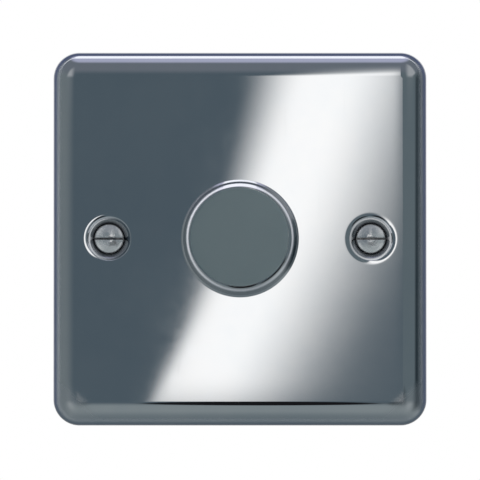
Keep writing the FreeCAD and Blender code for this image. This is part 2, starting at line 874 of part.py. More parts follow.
def latch_wire():
    """Bent wire that hooks into the slot of the plunger's cam and holds the switch pressed."""
    r = latch_wire_d / 2
    y = latch_y()
    top = plunger_back - r
    hook_y = y - r - clip_play - cam_thick / 4
    return bent_wire(r, (Vec(0, y, board_front), Vec(0, y, top), Vec(0, hook_y, top)), r + clip_play)


def contact_bridge():
    """Moving contact under the plunger's arms, carried half round its head."""
    z1 = shaft_back - arm_thick
    reach = arm_half()
    z0 = z1 - bridge_thick
    strip = block(-reach, reach, -contact_width / 2, contact_width / 2, z0, z1)
    collar_r = plunger_d / 2 + clip_play
    collar = cylinder(collar_r + bridge_collar, z0, z1)
    collar = collar.cut(bar(4 * collar_r, contact_width / 2, 2 * collar_r, z0, z1))
    return tidy(strip.fuse(collar).cut(cylinder(collar_r, z0, z1)))


def contact_places():
    inner = switch_side / 2 - switch_wall - contact_in
    return (-inner, inner)


def contact_foot(x, gap):
    half = contact_thick / 2 + gap
    wide = contact_width / 2 + gap
    return block(x - half, x + half, -wide, wide, board_front, switch_floor)


def switch_contacts():
    """Fixed contacts, which the bridge meets when the knob is pressed home."""
    contacts = []
    top = shaft_back - arm_thick - bridge_thick - push_travel - clip_play
    for x in contact_places():
        blade = bar(contact_thick, -contact_width / 2, contact_width / 2, board_back - lead_trim, top, x)
        contacts.append(blade)
    return Part.makeCompound(contacts)


def switch_spring():
    """Return spring of square wire, between the plunger and the floor of the switch."""
    r = (plunger_stem_d + plunger_d) / 4
    low = switch_floor + spring_wire / 2 + spring_seat
    rise = spring_space - spring_wire - 2 * spring_seat
    helix = Part.makeHelix(rise / spring_turns, rise, r)
    half = spring_wire / 2
    corners = [Vec(r + dx * half, 0, dz * half) for dx, dz in ((-1, -1), (1, -1), (1, 1), (-1, 1))]
    section = Part.makePolygon(corners + corners[:1])
    coil = Part.Wire(helix).makePipeShell([section], True, True)
    coil.translate(Vec(0, 0, low))
    return coil


# Circuit board

def board_post_places():
    left = -board_right + board_post_d / 2
    top = board_top - board_post_d / 2
    bottom = board_bottom + board_post_d / 2
    return ((left, top), (left, bottom), (-left, bottom))


def circuit_board():
    width = 2 * board_right
    height = board_top - board_bottom
    middle = (board_top + board_bottom) / 2
    board = rounded_prism(width, height, case_corner - case_wall, board_back, board_front, 0, middle)
    for x, y in case_boss_places:
        board = board.cut(cylinder(case_boss_d / 2 + board_edge_gap, board_back, board_front, x, y))
    for x, y, r in lead_places():
        board = board.cut(cylinder(r + lead_clear, board_back, board_front, x, y))
    leg_y = -pot_side / 2 - leg_fit - leg_thick / 2
    for x in leg_places():
        board = board.cut(cylinder(leg_width / 2 + lead_clear, board_back, board_front, x, leg_y))
    for x in contact_places():
        board = board.cut(cylinder(contact_width / 2 + lead_clear, board_back, board_front, x, 0))
    return tidy(board)


def lead_places():
    """Where each component's leads go through the board, with the lead's radius."""
    r = lead_d / 2
    places = []
    for y in (-big_cap_length / 3, big_cap_length / 3):
        places.append((-side_strip, y, r))
    for x, y in small_cap_places():
        places.append((x - small_cap_length / 3, y, r))
        places.append((x + small_cap_length / 3, y, r))
    for y in fuse_lead_ys():
        places.append((side_strip, y, r))
    for x in resistor_places():
        for y in axial_ends(resistor_y, resistor_length):
            places.append((x, y, r))
    for x in axial_ends(small_cap_x, diac_length):
        places.append((x, diac_y, r))
    for x in choke_lead_xs():
        places.append((x, choke_lead_y, r))
    for y in triac_lead_ys():
        places.append((triac_lead_x, y, triac_lead_width / 2))
    return places


def lead(x, y, top):
    """One straight lead down through the board."""
    return cylinder(lead_d / 2, board_back - lead_trim, top, x, y)


def axial_ends(middle, length):
    reach = length / 2 + lead_d
    return (middle - reach, middle + reach)


def suppressor_capacitor():
    half_w = big_cap_width / 2
    half_l = big_cap_length / 2
    top = board_front + big_cap_height
    body = block(-side_strip - half_w, -side_strip + half_w, -half_l, half_l, board_front, top)
    upper = [edge for edge in body.Edges if edge.BoundBox.ZMax > board_front + 1e-6]
    body = body.makeChamfer(cap_edge, upper)
    for y in (-big_cap_length / 3, big_cap_length / 3):
        body = body.fuse(lead(-side_strip, y, board_front + lead_d))
    return tidy(body)


def small_cap_places():
    return [(small_cap_x, top_strip + side * small_cap_pitch / 2) for side in (-1, 1)]


def timing_capacitors():
    caps = []
    for x, y in small_cap_places():
        half = small_cap_width / 2
        top = board_front + small_cap_height
        body = bar(small_cap_length, y - half, y + half, board_front, top, x)
        upper = [edge for edge in body.Edges if edge.BoundBox.ZMax > board_front + 1e-6]
        body = body.makeChamfer(cap_edge / 2, upper)
        for side in (-1, 1):
            body = body.fuse(lead(x + side * small_cap_length / 3, y, board_front + lead_d))
        caps.append(tidy(body))
    return Part.makeCompound(caps)


def fuse_lead_ys():
    y = (fuse_length - fuse_cap_length) / 2
    return (-y, y)


def fuse():
    r = fuse_d / 2
    z = board_front + r + fuse_cap_lift + solder_gap
    half = fuse_length / 2
    body = rod_along_y(r, -half, half, side_strip, z)
    for y0, y1 in ((-half, -half + fuse_cap_length), (half - fuse_cap_length, half)):
        body = body.fuse(rod_along_y(r + fuse_cap_lift, y0, y1, side_strip, z))
    for y in fuse_lead_ys():
        body = body.fuse(lead(side_strip, y, z))
    return tidy(body)


def resistor_places():
    return (side_strip - resistor_pitch / 2, side_strip + resistor_pitch / 2)


def axial_part(r, length, along_x, x, y):
    """Bead on a wire, with both ends bent down to the board."""
    z = board_front + r + solder_gap
    foot = board_back - lead_trim
    if along_x:
        low, high = axial_ends(x, length)
        ends = (Vec(low, y, z), Vec(high, y, z))
        bead = rod_along_x(r, x - length / 2, x + length / 2, y, z)
    else:
        low, high = axial_ends(y, length)
        ends = (Vec(x, low, z), Vec(x, high, z))
        bead = rod_along_y(r, y - length / 2, y + length / 2, x, z)
    feet = [Vec(end.x, end.y, foot) for end in ends]
    wire = bent_wire(lead_d / 2, (feet[0], ends[0], ends[1], feet[1]), lead_bend)
    return tidy(bead.fuse(wire))


def resistors():
    made = [axial_part(resistor_d / 2, resistor_length, False, x, resistor_y) for x in resistor_places()]
    return Part.makeCompound(made)


def diac():
    return axial_part(diac_d / 2, diac_length, True, small_cap_x, diac_y)


def choke_core():
    z0 = board_front + winding_wire + 2 * solder_gap
    z1 = z0 + toroid_height
    ring = turned((
        (toroid_hole_d / 2, z0),
        (toroid_d / 2, z0),
        (toroid_d / 2, z1),
        (toroid_hole_d / 2, z1),
    ))
    ring.translate(Vec(choke_x, choke_y, 0))
    return ring


def choke_lead_xs():
    return (choke_x - winding_wire * 2, choke_x + winding_wire * 2)


def choke_winding():
    """Copper turns round the ring, side by side on its inner face and fanned out on its outer face."""
    gap = solder_gap
    z0 = board_front + gap
    z1 = z0 + toroid_height + 2 * winding_wire + 2 * gap
    in_r = toroid_hole_d / 2 - gap
    out_r = toroid_d / 2 + gap
    skin = turned((
        (in_r - winding_wire, z0),
        (out_r + winding_wire, z0),
        (out_r + winding_wire, z1),
        (in_r - winding_wire, z1),
    ))
    core_room = turned((
        (in_r, z0 + winding_wire),
        (out_r, z0 + winding_wire),
        (out_r, z1 - winding_wire),
        (in_r, z1 - winding_wire),
    ))
    groove_angle = 360.0 / winding_turns / 2
    depth = winding_wire / 2
    groove = sector(out_r + depth, out_r + 2 * winding_wire, z0, z1, 0, groove_angle)
    top_groove = sector(in_r, out_r + 2 * winding_wire, z1 - depth, z1, 0, groove_angle)
    coil = skin.cut(core_room).cut(round_array(groove.fuse(top_groove), winding_turns))
    coil.translate(Vec(choke_x, choke_y, 0))
    body = coil
    for x in choke_lead_xs():
        z = z0 + lead_d
        inside = Vec(x, choke_lead_y - (winding_wire + lead_d) / 2, z)
        corner = Vec(x, choke_lead_y, z)
        foot = Vec(x, choke_lead_y, board_back - lead_trim)
        body = body.fuse(bent_wire(lead_d / 2, (inside, corner, foot), lead_bend))
    return tidy(body)


def triac_lead_ys():
    return (top_strip - triac_lead_pitch, top_strip, top_strip + triac_lead_pitch)


def triac():
    """Power switch, tab flat against the back of the heat sink, three legs down to the board."""
    x0 = triac_body_x
    x1 = x0 + triac_body_length
    y0 = top_strip - triac_width / 2
    y1 = top_strip + triac_width / 2
    tab_back = sink_back - triac_tab_thick
    tab = block(x0, x1 + triac_tab_length, y0, y1, tab_back, sink_back)
    body = block(x0, x1, y0, y1, sink_back - triac_body_thick, sink_back)
    hole = cylinder(triac_hole_d / 2, tab_back, sink_back, triac_hole_x, top_strip)
    shape = body.fuse(tab).cut(hole)
    leg_z = sink_back - triac_body_thick / 2
    half_w = triac_lead_width / 2
    half_t = triac_lead_thick / 2
    for y in triac_lead_ys():
        reach = block(triac_lead_x - half_t, x0, y - half_w, y + half_w, leg_z - half_t, leg_z + half_t)
        drop = bar(triac_lead_thick, y - half_w, y + half_w, board_back - lead_trim, leg_z, triac_lead_x)
        shape = shape.fuse([reach, drop])
    return tidy(shape)


def rivet_shape(gap):
    """Rivet through the heat sink and the tab, flush in front and with a round head behind."""
    x = triac_hole_x
    r = rivet_d / 2
    head_r = rivet_head_d / 2
    tab_back = sink_back - triac_tab_thick
    neck = plate_back - (head_r - r)
    front = cone(r + gap, neck, head_r + gap, plate_back, x, top_strip)
    shank = cylinder(r + gap, tab_back, neck, x, top_strip)
    head = cylinder(head_r + gap, tab_back - rivet_head_thick, tab_back, x, top_strip)
    return front.fuse([shank, head])


def triac_rivet():
    return tidy(rivet_shape(0))


# Cable terminals

def cable_terminal(x):
    """Brass block: a blind bore for the cable, a tapped hole behind, and a tail soldered to the board."""
    body = bar(terminal_width, terminal_bottom, terminal_top, terminal_back, terminal_front, x)
    bore_end = terminal_bottom + cable_bore_depth
    body = body.cut(rod_along_y(cable_bore_d / 2, terminal_bottom, bore_end, x, cable_z))
    body = body.cut(cylinder(clamp_screw_d / 2 + clamp_screw_fit, terminal_back, cable_z, x, clamp_y))
    tail = bar(tail_width, terminal_top, board_bottom + tail_lap, board_front, board_front + tail_thick, x)
    return tidy(body.fuse(tail))


def clamp_screw(x, y, block_back, bore_z):
    """Cheese-head clamp screw, backed off so that the bore is open."""
    r = clamp_screw_d / 2
    tip = bore_z - cable_bore_d / 2 - clamp_screw_tip_gap
    under_head = block_back - clamp_screw_open
    top = under_head - clamp_head_thick
    shank = cylinder(r, under_head, tip, x, y)
    head = cylinder(clamp_head_d / 2, top, under_head, x, y)
    slot = block(x - clamp_head_d, x + clamp_head_d, y - clamp_slot / 2, y + clamp_slot / 2, top,
                 top + clamp_head_thick / 2)
    return tidy(head.fuse(shank).cut(slot))


def terminal_screws():
    return Part.makeCompound([clamp_screw(x, clamp_y, terminal_back, cable_z) for x in terminal_places])


def earth_terminal():
    """Brass block fixed to the back of the plate, open upwards for the earth wire."""
    body = bar(terminal_width, earth_bottom, earth_top, earth_back, plate_back, earth_x)
    bore_end = earth_top - cable_bore_depth
    tapped_r = clamp_screw_d / 2 + clamp_screw_fit
    body = body.cut(rod_along_y(cable_bore_d / 2, bore_end, earth_top, earth_x, earth_cable_z))
    return body.cut(cylinder(tapped_r, earth_back, earth_cable_z, earth_x, earth_clamp_y))


def earth_screw():
    return clamp_screw(earth_x, earth_clamp_y, earth_back, earth_cable_z)


# All the pieces, by name

def pieces():
    made = {
        "front_plate": front_plate(),
        "fixing_screws": fixing_screws(),
        "backing_frame": backing_frame(),
        "heat_sink": heat_sink(),
        "case_screws": case_screws(),
        "module_case": module_case(),
        "pot_bush": pot_bush(),
        "lock_washer": lock_washer(),
        "bush_nut": bush_nut(),
        "pot_body": pot_body(),
        "track_wafer": track_wafer(),
        "pot_legs": pot_legs(),
        "pot_rotor": pot_rotor(),
        "wiper": wiper(),
        "shaft": shaft(),
        "shaft_clip": shaft_clip(),
        "knob_cap": knob_cap(),
        "knob_insert": knob_insert(),
        "knob_grip_spring": knob_grip_spring(),
        "switch_case": switch_case(),
        "switch_plunger": switch_plunger(),
        "latch_wire": latch_wire(),
        "contact_bridge": contact_bridge(),
        "switch_contacts": switch_contacts(),
        "switch_spring": switch_spring(),
        "circuit_board": circuit_board(),
        "suppressor_capacitor": suppressor_capacitor(),
        "timing_capacitors": timing_capacitors(),
        "fuse": fuse(),
        "resistors": resistors(),
        "diac": diac(),
        "choke_core": choke_core(),
        "choke_winding": choke_winding(),
        "triac": triac(),
        "triac_rivet": triac_rivet(),
        "terminal_screws": terminal_screws(),
        "earth_terminal": earth_terminal(),
        "earth_screw": earth_screw(),
    }
    for name, x in zip(("terminal_common", "terminal_line_1", "terminal_line_2"), terminal_places):
        made[name] = cable_terminal(x)
    return made


def main():
    os.makedirs("parts", exist_ok=True)
    for name, shape in pieces().items():
        upright = shape.copy()
        upright.rotate(Vec(0, 0, 0), Vec(1, 0, 0), 90)
        upright.exportStep(os.path.join("parts", name + ".step"))


main()
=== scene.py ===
import math
import bmesh
import bpy
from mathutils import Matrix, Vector


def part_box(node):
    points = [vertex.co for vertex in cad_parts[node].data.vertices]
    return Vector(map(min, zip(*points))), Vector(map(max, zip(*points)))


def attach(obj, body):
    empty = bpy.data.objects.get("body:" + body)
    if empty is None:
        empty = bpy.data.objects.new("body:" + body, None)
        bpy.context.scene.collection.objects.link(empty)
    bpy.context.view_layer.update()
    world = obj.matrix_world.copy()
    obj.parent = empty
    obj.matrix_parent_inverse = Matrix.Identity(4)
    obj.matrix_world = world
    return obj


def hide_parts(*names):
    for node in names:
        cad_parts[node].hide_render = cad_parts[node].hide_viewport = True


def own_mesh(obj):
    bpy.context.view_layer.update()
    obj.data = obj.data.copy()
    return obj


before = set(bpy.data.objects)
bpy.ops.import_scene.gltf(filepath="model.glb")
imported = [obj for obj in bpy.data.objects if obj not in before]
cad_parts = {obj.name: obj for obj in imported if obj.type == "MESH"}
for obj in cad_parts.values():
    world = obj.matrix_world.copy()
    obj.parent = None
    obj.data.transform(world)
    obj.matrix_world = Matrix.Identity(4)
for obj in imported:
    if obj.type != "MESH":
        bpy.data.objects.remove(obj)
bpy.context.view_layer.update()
mm = 0.001
screwX = 30.15 * mm  # the fixing screws stand this far to each side of the middle
print("frame loaded:", len(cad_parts), "nodes")


# shader helpers

def feed(tree, socket, value):
    if isinstance(value, bpy.types.NodeSocket):
        tree.links.new(value, socket)
    else:
        socket.default_value = value


def calc(tree, operation, *values):
    node = tree.nodes.new("ShaderNodeMath")
    node.operation = operation
    for socket, value in zip(node.inputs, values):
        feed(tree, socket, value)
    return node.outputs[0]


def spread(tree, value, low, high, toLow=0.0, toHigh=1.0):
    node = tree.nodes.new("ShaderNodeMapRange")
    node.interpolation_type = "SMOOTHSTEP"
    for socket, given in zip(node.inputs, (value, low, high, toLow, toHigh)):
        feed(tree, socket, given)
    return node.outputs[0]


def mixColour(tree, factor, first, second):
    node = tree.nodes.new("ShaderNodeMix")
    node.data_type = "RGBA"
    feed(tree, node.inputs[0], factor)
    feed(tree, node.inputs[6], first)
    feed(tree, node.inputs[7], second)
    return node.outputs[2]


def times(tree, first, second):
    return calc(tree, "MULTIPLY", first, second)


# distance from an axis, by the two coordinates across it
def fromAxis(tree, across, up):
    return calc(tree, "SQRT", calc(tree, "ADD", times(tree, across, across), times(tree, up, up)))


# distance from a value, to either side
def offFrom(tree, value, middle):
    return calc(tree, "ABSOLUTE", calc(tree, "SUBTRACT", value, middle))


def objectAxes(tree, shift=(0, 0, 0), scale=(1, 1, 1), turn=0.0):
    coords = tree.nodes.new("ShaderNodeTexCoord")
    mapping = tree.nodes.new("ShaderNodeMapping")
    mapping.inputs["Location"].default_value = shift
    mapping.inputs["Rotation"].default_value = (0, turn, 0)
    mapping.inputs["Scale"].default_value = scale
    tree.links.new(coords.outputs["Object"], mapping.inputs["Vector"])
    return mapping.outputs["Vector"]


def axis(tree, vector):
    node = tree.nodes.new("ShaderNodeSeparateXYZ")
    tree.links.new(vector, node.inputs[0])
    return node.outputs


def noise(tree, vector, scale, detail=2.0, roughness=0.5):
    node = tree.nodes.new("ShaderNodeTexNoise")
    tree.links.new(vector, node.inputs["Vector"])
    feed(tree, node.inputs["Scale"], scale)
    node.inputs["Detail"].default_value = detail
    node.inputs["Roughness"].default_value = roughness
    return node.outputs[0]


def bump(tree, height, distance):
    node = tree.nodes.new("ShaderNodeBump")
    node.inputs["Strength"].default_value = 1.0
    node.inputs["Distance"].default_value = distance
    tree.links.new(height, node.inputs["Height"])
    return node.outputs[0]


# painted shade: a mask of the faces in the screw slots, which the finishes darken
def slotShadeMask(tree):
    node = tree.nodes.new("ShaderNodeAttribute")
    node.attribute_name = "slot_shade"
    return node.outputs["Fac"]


def newGroup(name, inputs, outputs):
    group = bpy.data.node_groups.new(name, "ShaderNodeTree")
    for label, value in inputs.items():
        socket = group.interface.new_socket(name=label, in_out="INPUT", socket_type="NodeSocketFloat")
        socket.default_value = value
    for label in outputs:
        group.interface.new_socket(name=label, in_out="OUTPUT", socket_type="NodeSocketFloat")
    return group, group.nodes.new("NodeGroupInput").outputs, group.nodes.new("NodeGroupOutput").inputs


def place(tree, group, **values):
    node = tree.nodes.new("ShaderNodeGroup")
    node.node_tree = group
    for label, value in values.items():
        node.inputs[label].default_value = value
    return node.outputs


# shared surface effects, whose noise is spread over the whole of 0 to 1

noiseLow, noiseHigh = 0.3, 0.7


def blended(tree, first, second, share):
    both = calc(tree, "ADD", times(tree, first, share), times(tree, second, 1 - share))
    return spread(tree, both, noiseLow, noiseHigh)


def makeHandlingFilm():
    group, given, out = newGroup("handlingFilm", {"Scale": 60.0}, ["Film"])
    broad = noise(group, objectAxes(group), given["Scale"], 3.0)
    fine = noise(group, objectAxes(group), times(group, given["Scale"], 5.0), 4.0, 0.6)
    group.links.new(blended(group, broad, fine, 0.65), out["Film"])
    return group


def makeHairScratches():
    group, given, out = newGroup("hairScratches", {"Scale": 900.0, "Share": 0.012}, ["Mask"])
    lines = None
    stretch = (1.0, 1.0, 0.02)
    patchScale = 55.0
    for turn in (0.5, 1.9, 2.6):
        streak = noise(group, objectAxes(group, (turn, 0, turn), stretch, turn), given["Scale"], 1.0)
        line = spread(group, offFrom(group, streak, 0.5), given["Share"], 0.0)
        patch = noise(group, objectAxes(group, (0, turn, 0)), patchScale)
        line = times(group, line, spread(group, patch, 0.5, 0.62))
        lines = line if lines is None else calc(group, "MAXIMUM", lines, line)
    group.links.new(lines, out["Mask"])
    return group


def makeMouldGrain():
    group, given, out = newGroup("mouldGrain", {"Scale": 2500.0}, ["Height", "Tone"])
    fine = noise(group, objectAxes(group), given["Scale"], 2.0, 0.55)
    flow = noise(group, objectAxes(group), times(group, given["Scale"], 0.03), 3.0)
    group.links.new(fine, out["Height"])
    group.links.new(blended(group, fine, flow, 0.35), out["Tone"])
    return group


def makeRolledGrain():
    group, given, out = newGroup("rolledGrain", {"Scale": 3000.0}, ["Height", "Tone"])
    streak = noise(group, objectAxes(group, scale=(1.0, 1.0, 0.03)), given["Scale"], 3.0, 0.6)
    cloud = noise(group, objectAxes(group), times(group, given["Scale"], 0.04), 3.0)
    group.links.new(streak, out["Height"])
    group.links.new(blended(group, streak, cloud, 0.5), out["Tone"])
    return group


def makeLatheRings():
    group, given, out = newGroup("latheRings", {"Rings": 9000.0}, ["Height"])
    part = axis(group, objectAxes(group))
    radius = fromAxis(group, part[0], part[2])
    ring = group.nodes.new("ShaderNodeTexNoise")
    ring.noise_dimensions = "1D"
    group.links.new(times(group, radius, given["Rings"]), ring.inputs["W"])
    ring.inputs["Scale"].default_value = 1.0
    ring.inputs["Detail"].default_value = 3.0
    group.links.new(ring.outputs[0], out["Height"])
    return group


handlingFilm = makeHandlingFilm()
hairScratches = makeHairScratches()
mouldGrain = makeMouldGrain()
rolledGrain = makeRolledGrain()
latheRings = makeLatheRings()
print("surface effects made:", len(bpy.data.node_groups))


# finishes, one for each material slot of the record

def newFinish(name):
    material = bpy.data.materials.new(name)
    material.use_nodes = True
    return material, material.node_tree, material.node_tree.nodes["Principled BSDF"].inputs


# the near-black recess colour is painted shade, darkening the dimples towards the screw heads
polishedPlate = {"dark": (0.60, 0.625, 0.65, 1), "light": (0.64, 0.655, 0.67, 1), "recessShade": (0.09, 0.095, 0.105, 1),
                 "rough": (0.03, 0.05), "rimRough": 0.25, "scratchRough": 0.015,
                 "rimFrom": 39.5 * mm, "rimTo": 42 * mm, "cornerFrom": 71 * mm, "cornerTo": 75.5 * mm,
                 "recessShadeFrom": 4.9 * mm, "recessShadeTo": 3.5 * mm, "filmScale": 45.0, "scratchScale": 700.0,
                 "scratchShare": 0.003, "waveScale": 38.0, "wave": 4e-6}


def makePolishedSteel():
    material, tree, shader = newFinish("polished_steel_finish")
    plate = polishedPlate
    film = place(tree, handlingFilm, Scale=plate["filmScale"])["Film"]
    scratch = place(tree, hairScratches, Scale=plate["scratchScale"], Share=plate["scratchShare"])["Mask"]
    part = axis(tree, objectAxes(tree))
    aside, down = calc(tree, "ABSOLUTE", part[0]), times(tree, part[2], -1.0)
    rim = spread(tree, calc(tree, "MAXIMUM", aside, down), plate["rimFrom"], plate["rimTo"])
    corner = spread(tree, calc(tree, "ADD", aside, down), plate["cornerFrom"], plate["cornerTo"])
    soft = times(tree, calc(tree, "MAXIMUM", rim, corner), plate["rimRough"])
    # painted shade: the dimples turn near black towards each screw head, where the gap round the head lies in
    # shadow
    reach = fromAxis(tree, calc(tree, "SUBTRACT", aside, screwX), down)
    recessShade = spread(tree, reach, plate["recessShadeFrom"], plate["recessShadeTo"])
    colour = mixColour(tree, film, plate["dark"], plate["light"])
    tree.links.new(mixColour(tree, recessShade, colour, plate["recessShade"]), shader["Base Color"])
    rough = calc(tree, "ADD", spread(tree, film, 0.0, 1.0, *plate["rough"]), soft)
    rough = calc(tree, "ADD", rough, times(tree, scratch, plate["scratchRough"]))
    tree.links.new(rough, shader["Roughness"])
    shader["Metallic"].default_value = 1.0
    wave = noise(tree, objectAxes(tree), plate["waveScale"], 1.0)
    tree.links.new(bump(tree, wave, plate["wave"]), shader["Normal"])
    return material


knobFinish = {"dark": (0.60, 0.615, 0.63, 1), "light": (0.64, 0.65, 0.66, 1),
              "face": ((0.42, 0.50, 0.51, 1), (0.47, 0.55, 0.56, 1)),
              "polished": (0.06, 0.08), "satin": (0.33, 0.42),
              "faceRadius": 11.38 * mm, "faceFade": 0.25 * mm, "faceShift": 0.2 * mm, "facePlane": -17.2 * mm,
              "planeFade": 0.1 * mm, "filmScale": 90.0, "rings": 11000.0, "ringDepth": 6e-6}


def makeChromeKnob():
    material, tree, shader = newFinish("chrome_knob_finish")
    knob = knobFinish
    film = place(tree, handlingFilm, Scale=knob["filmScale"])["Film"]
    rings = place(tree, latheRings, Rings=knob["rings"])["Height"]
    part = axis(tree, objectAxes(tree, (knob["faceShift"], 0, -knob["faceShift"])))
    radius = fromAxis(tree, part[0], part[2])
    inside = spread(tree, radius, knob["faceRadius"], knob["faceRadius"] - knob["faceFade"])
    front = spread(tree, part[1], knob["facePlane"] + knob["planeFade"], knob["facePlane"])
    face = times(tree, inside, front)
    colour = mixColour(tree, film, knob["dark"], knob["light"])
    tree.links.new(mixColour(tree, face, colour, mixColour(tree, rings, *knob["face"])), shader["Base Color"])
    satin = spread(tree, rings, 0.25, 0.75, *knob["satin"])
    polish = spread(tree, film, 0.0, 1.0, *knob["polished"])
    step = times(tree, calc(tree, "SUBTRACT", satin, polish), face)
    tree.links.new(calc(tree, "ADD", polish, step), shader["Roughness"])
    shader["Metallic"].default_value = 1.0
    tree.links.new(bump(tree, times(tree, rings, face), knob["ringDepth"]), shader["Normal"])
    return material


# wear that the hidden metals share, and the painted shade in the slots of all the screws
metalWear = {"filmScale": 180.0, "scratchScale": 1500.0, "scratchShare": 0.01, "scratchRough": 0.1}
slotShadeColour = (0.17, 0.17, 0.175, 1)


def makeMetal(name, dark, light, rough, grainScale=3000.0, grainDepth=3e-6):
    material, tree, shader = newFinish(name + "_finish")
    grain = place(tree, rolledGrain, Scale=grainScale)
    film = place(tree, handlingFilm, Scale=metalWear["filmScale"])["Film"]
    scratch = place(tree, hairScratches, Scale=metalWear["scratchScale"], Share=metalWear["scratchShare"])["Mask"]
    colour = mixColour(tree, grain["Tone"], dark, light)
    # the slot faces take the painted shade colour
    tree.links.new(mixColour(tree, slotShadeMask(tree), colour, slotShadeColour), shader["Base Color"])
    worn = spread(tree, film, 0.0, 1.0, *rough)
    worn = calc(tree, "ADD", worn, times(tree, scratch, metalWear["scratchRough"]))
    tree.links.new(worn, shader["Roughness"])
    shader["Metallic"].default_value = 1.0
    tree.links.new(bump(tree, grain["Height"], grainDepth), shader["Normal"])
    return material


screwFinish = {"dark": (0.78, 0.78, 0.79, 1), "light": (0.95, 0.95, 0.95, 1), "rough": (0.16, 0.30),
               "metallic": 0.9, "filmScale": 260.0, "dentScale": 1100.0, "dent": 5e-5}


def makeScrewNickel():
    material, tree, shader = newFinish("screw_nickel_finish")
    film = place(tree, handlingFilm, Scale=screwFinish["filmScale"])["Film"]
    dents = noise(tree, objectAxes(tree), screwFinish["dentScale"], 1.5)
    colour = mixColour(tree, film, screwFinish["dark"], screwFinish["light"])
    # the slot faces take the painted shade colour
    tree.links.new(mixColour(tree, slotShadeMask(tree), colour, slotShadeColour), shader["Base Color"])
    tree.links.new(spread(tree, film, 0.0, 1.0, *screwFinish["rough"]), shader["Roughness"])
    shader["Metallic"].default_value = screwFinish["metallic"]
    tree.links.new(bump(tree, dents, screwFinish["dent"]), shader["Normal"])
    return material


mouldingFilmScale = 120.0


def makeMoulding(name, dark, light, rough, grainScale=2500.0, grainDepth=8e-6):
    material, tree, shader = newFinish(name + "_finish")
    grain = place(tree, mouldGrain, Scale=grainScale)
    film = place(tree, handlingFilm, Scale=mouldingFilmScale)["Film"]
    tree.links.new(mixColour(tree, grain["Tone"], dark, light), shader["Base Color"])
    tree.links.new(spread(tree, film, 0.0, 1.0, *rough), shader["Roughness"])
    tree.links.new(bump(tree, grain["Height"], grainDepth), shader["Normal"])
    return material


bandedBody = {"grainScale": 3500.0, "grainDepth": 5e-6, "bandFade": 0.1 * mm}


# a body with rings of another colour or metal ends, by height along Z
def makeBanded(name, body, light, bands, rough, metalEnds=None):
    material, tree, shader = newFinish(name + "_finish")
    grain = place(tree, mouldGrain, Scale=bandedBody["grainScale"])
    fade = bandedBody["bandFade"]
    up = axis(tree, objectAxes(tree))[2]
    colour = mixColour(tree, grain["Tone"], body, light)
    for middle, half, tint in bands:
        band = spread(tree, offFrom(tree, up, middle), half, half - fade)
        colour = mixColour(tree, band, colour, tint)
    tree.links.new(colour, shader["Base Color"])
    tree.links.new(spread(tree, grain["Tone"], 0.0, 1.0, *rough), shader["Roughness"])
    if metalEnds:
        ends = spread(tree, offFrom(tree, up, metalEnds["middle"]), metalEnds["from"], metalEnds["from"] + fade)
        tree.links.new(ends, shader["Metallic"])
    tree.links.new(bump(tree, grain["Height"], bandedBody["grainDepth"]), shader["Normal"])
    return material


def middleOf(node, number):
    low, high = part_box(node)
    return (low[number] + high[number]) / 2


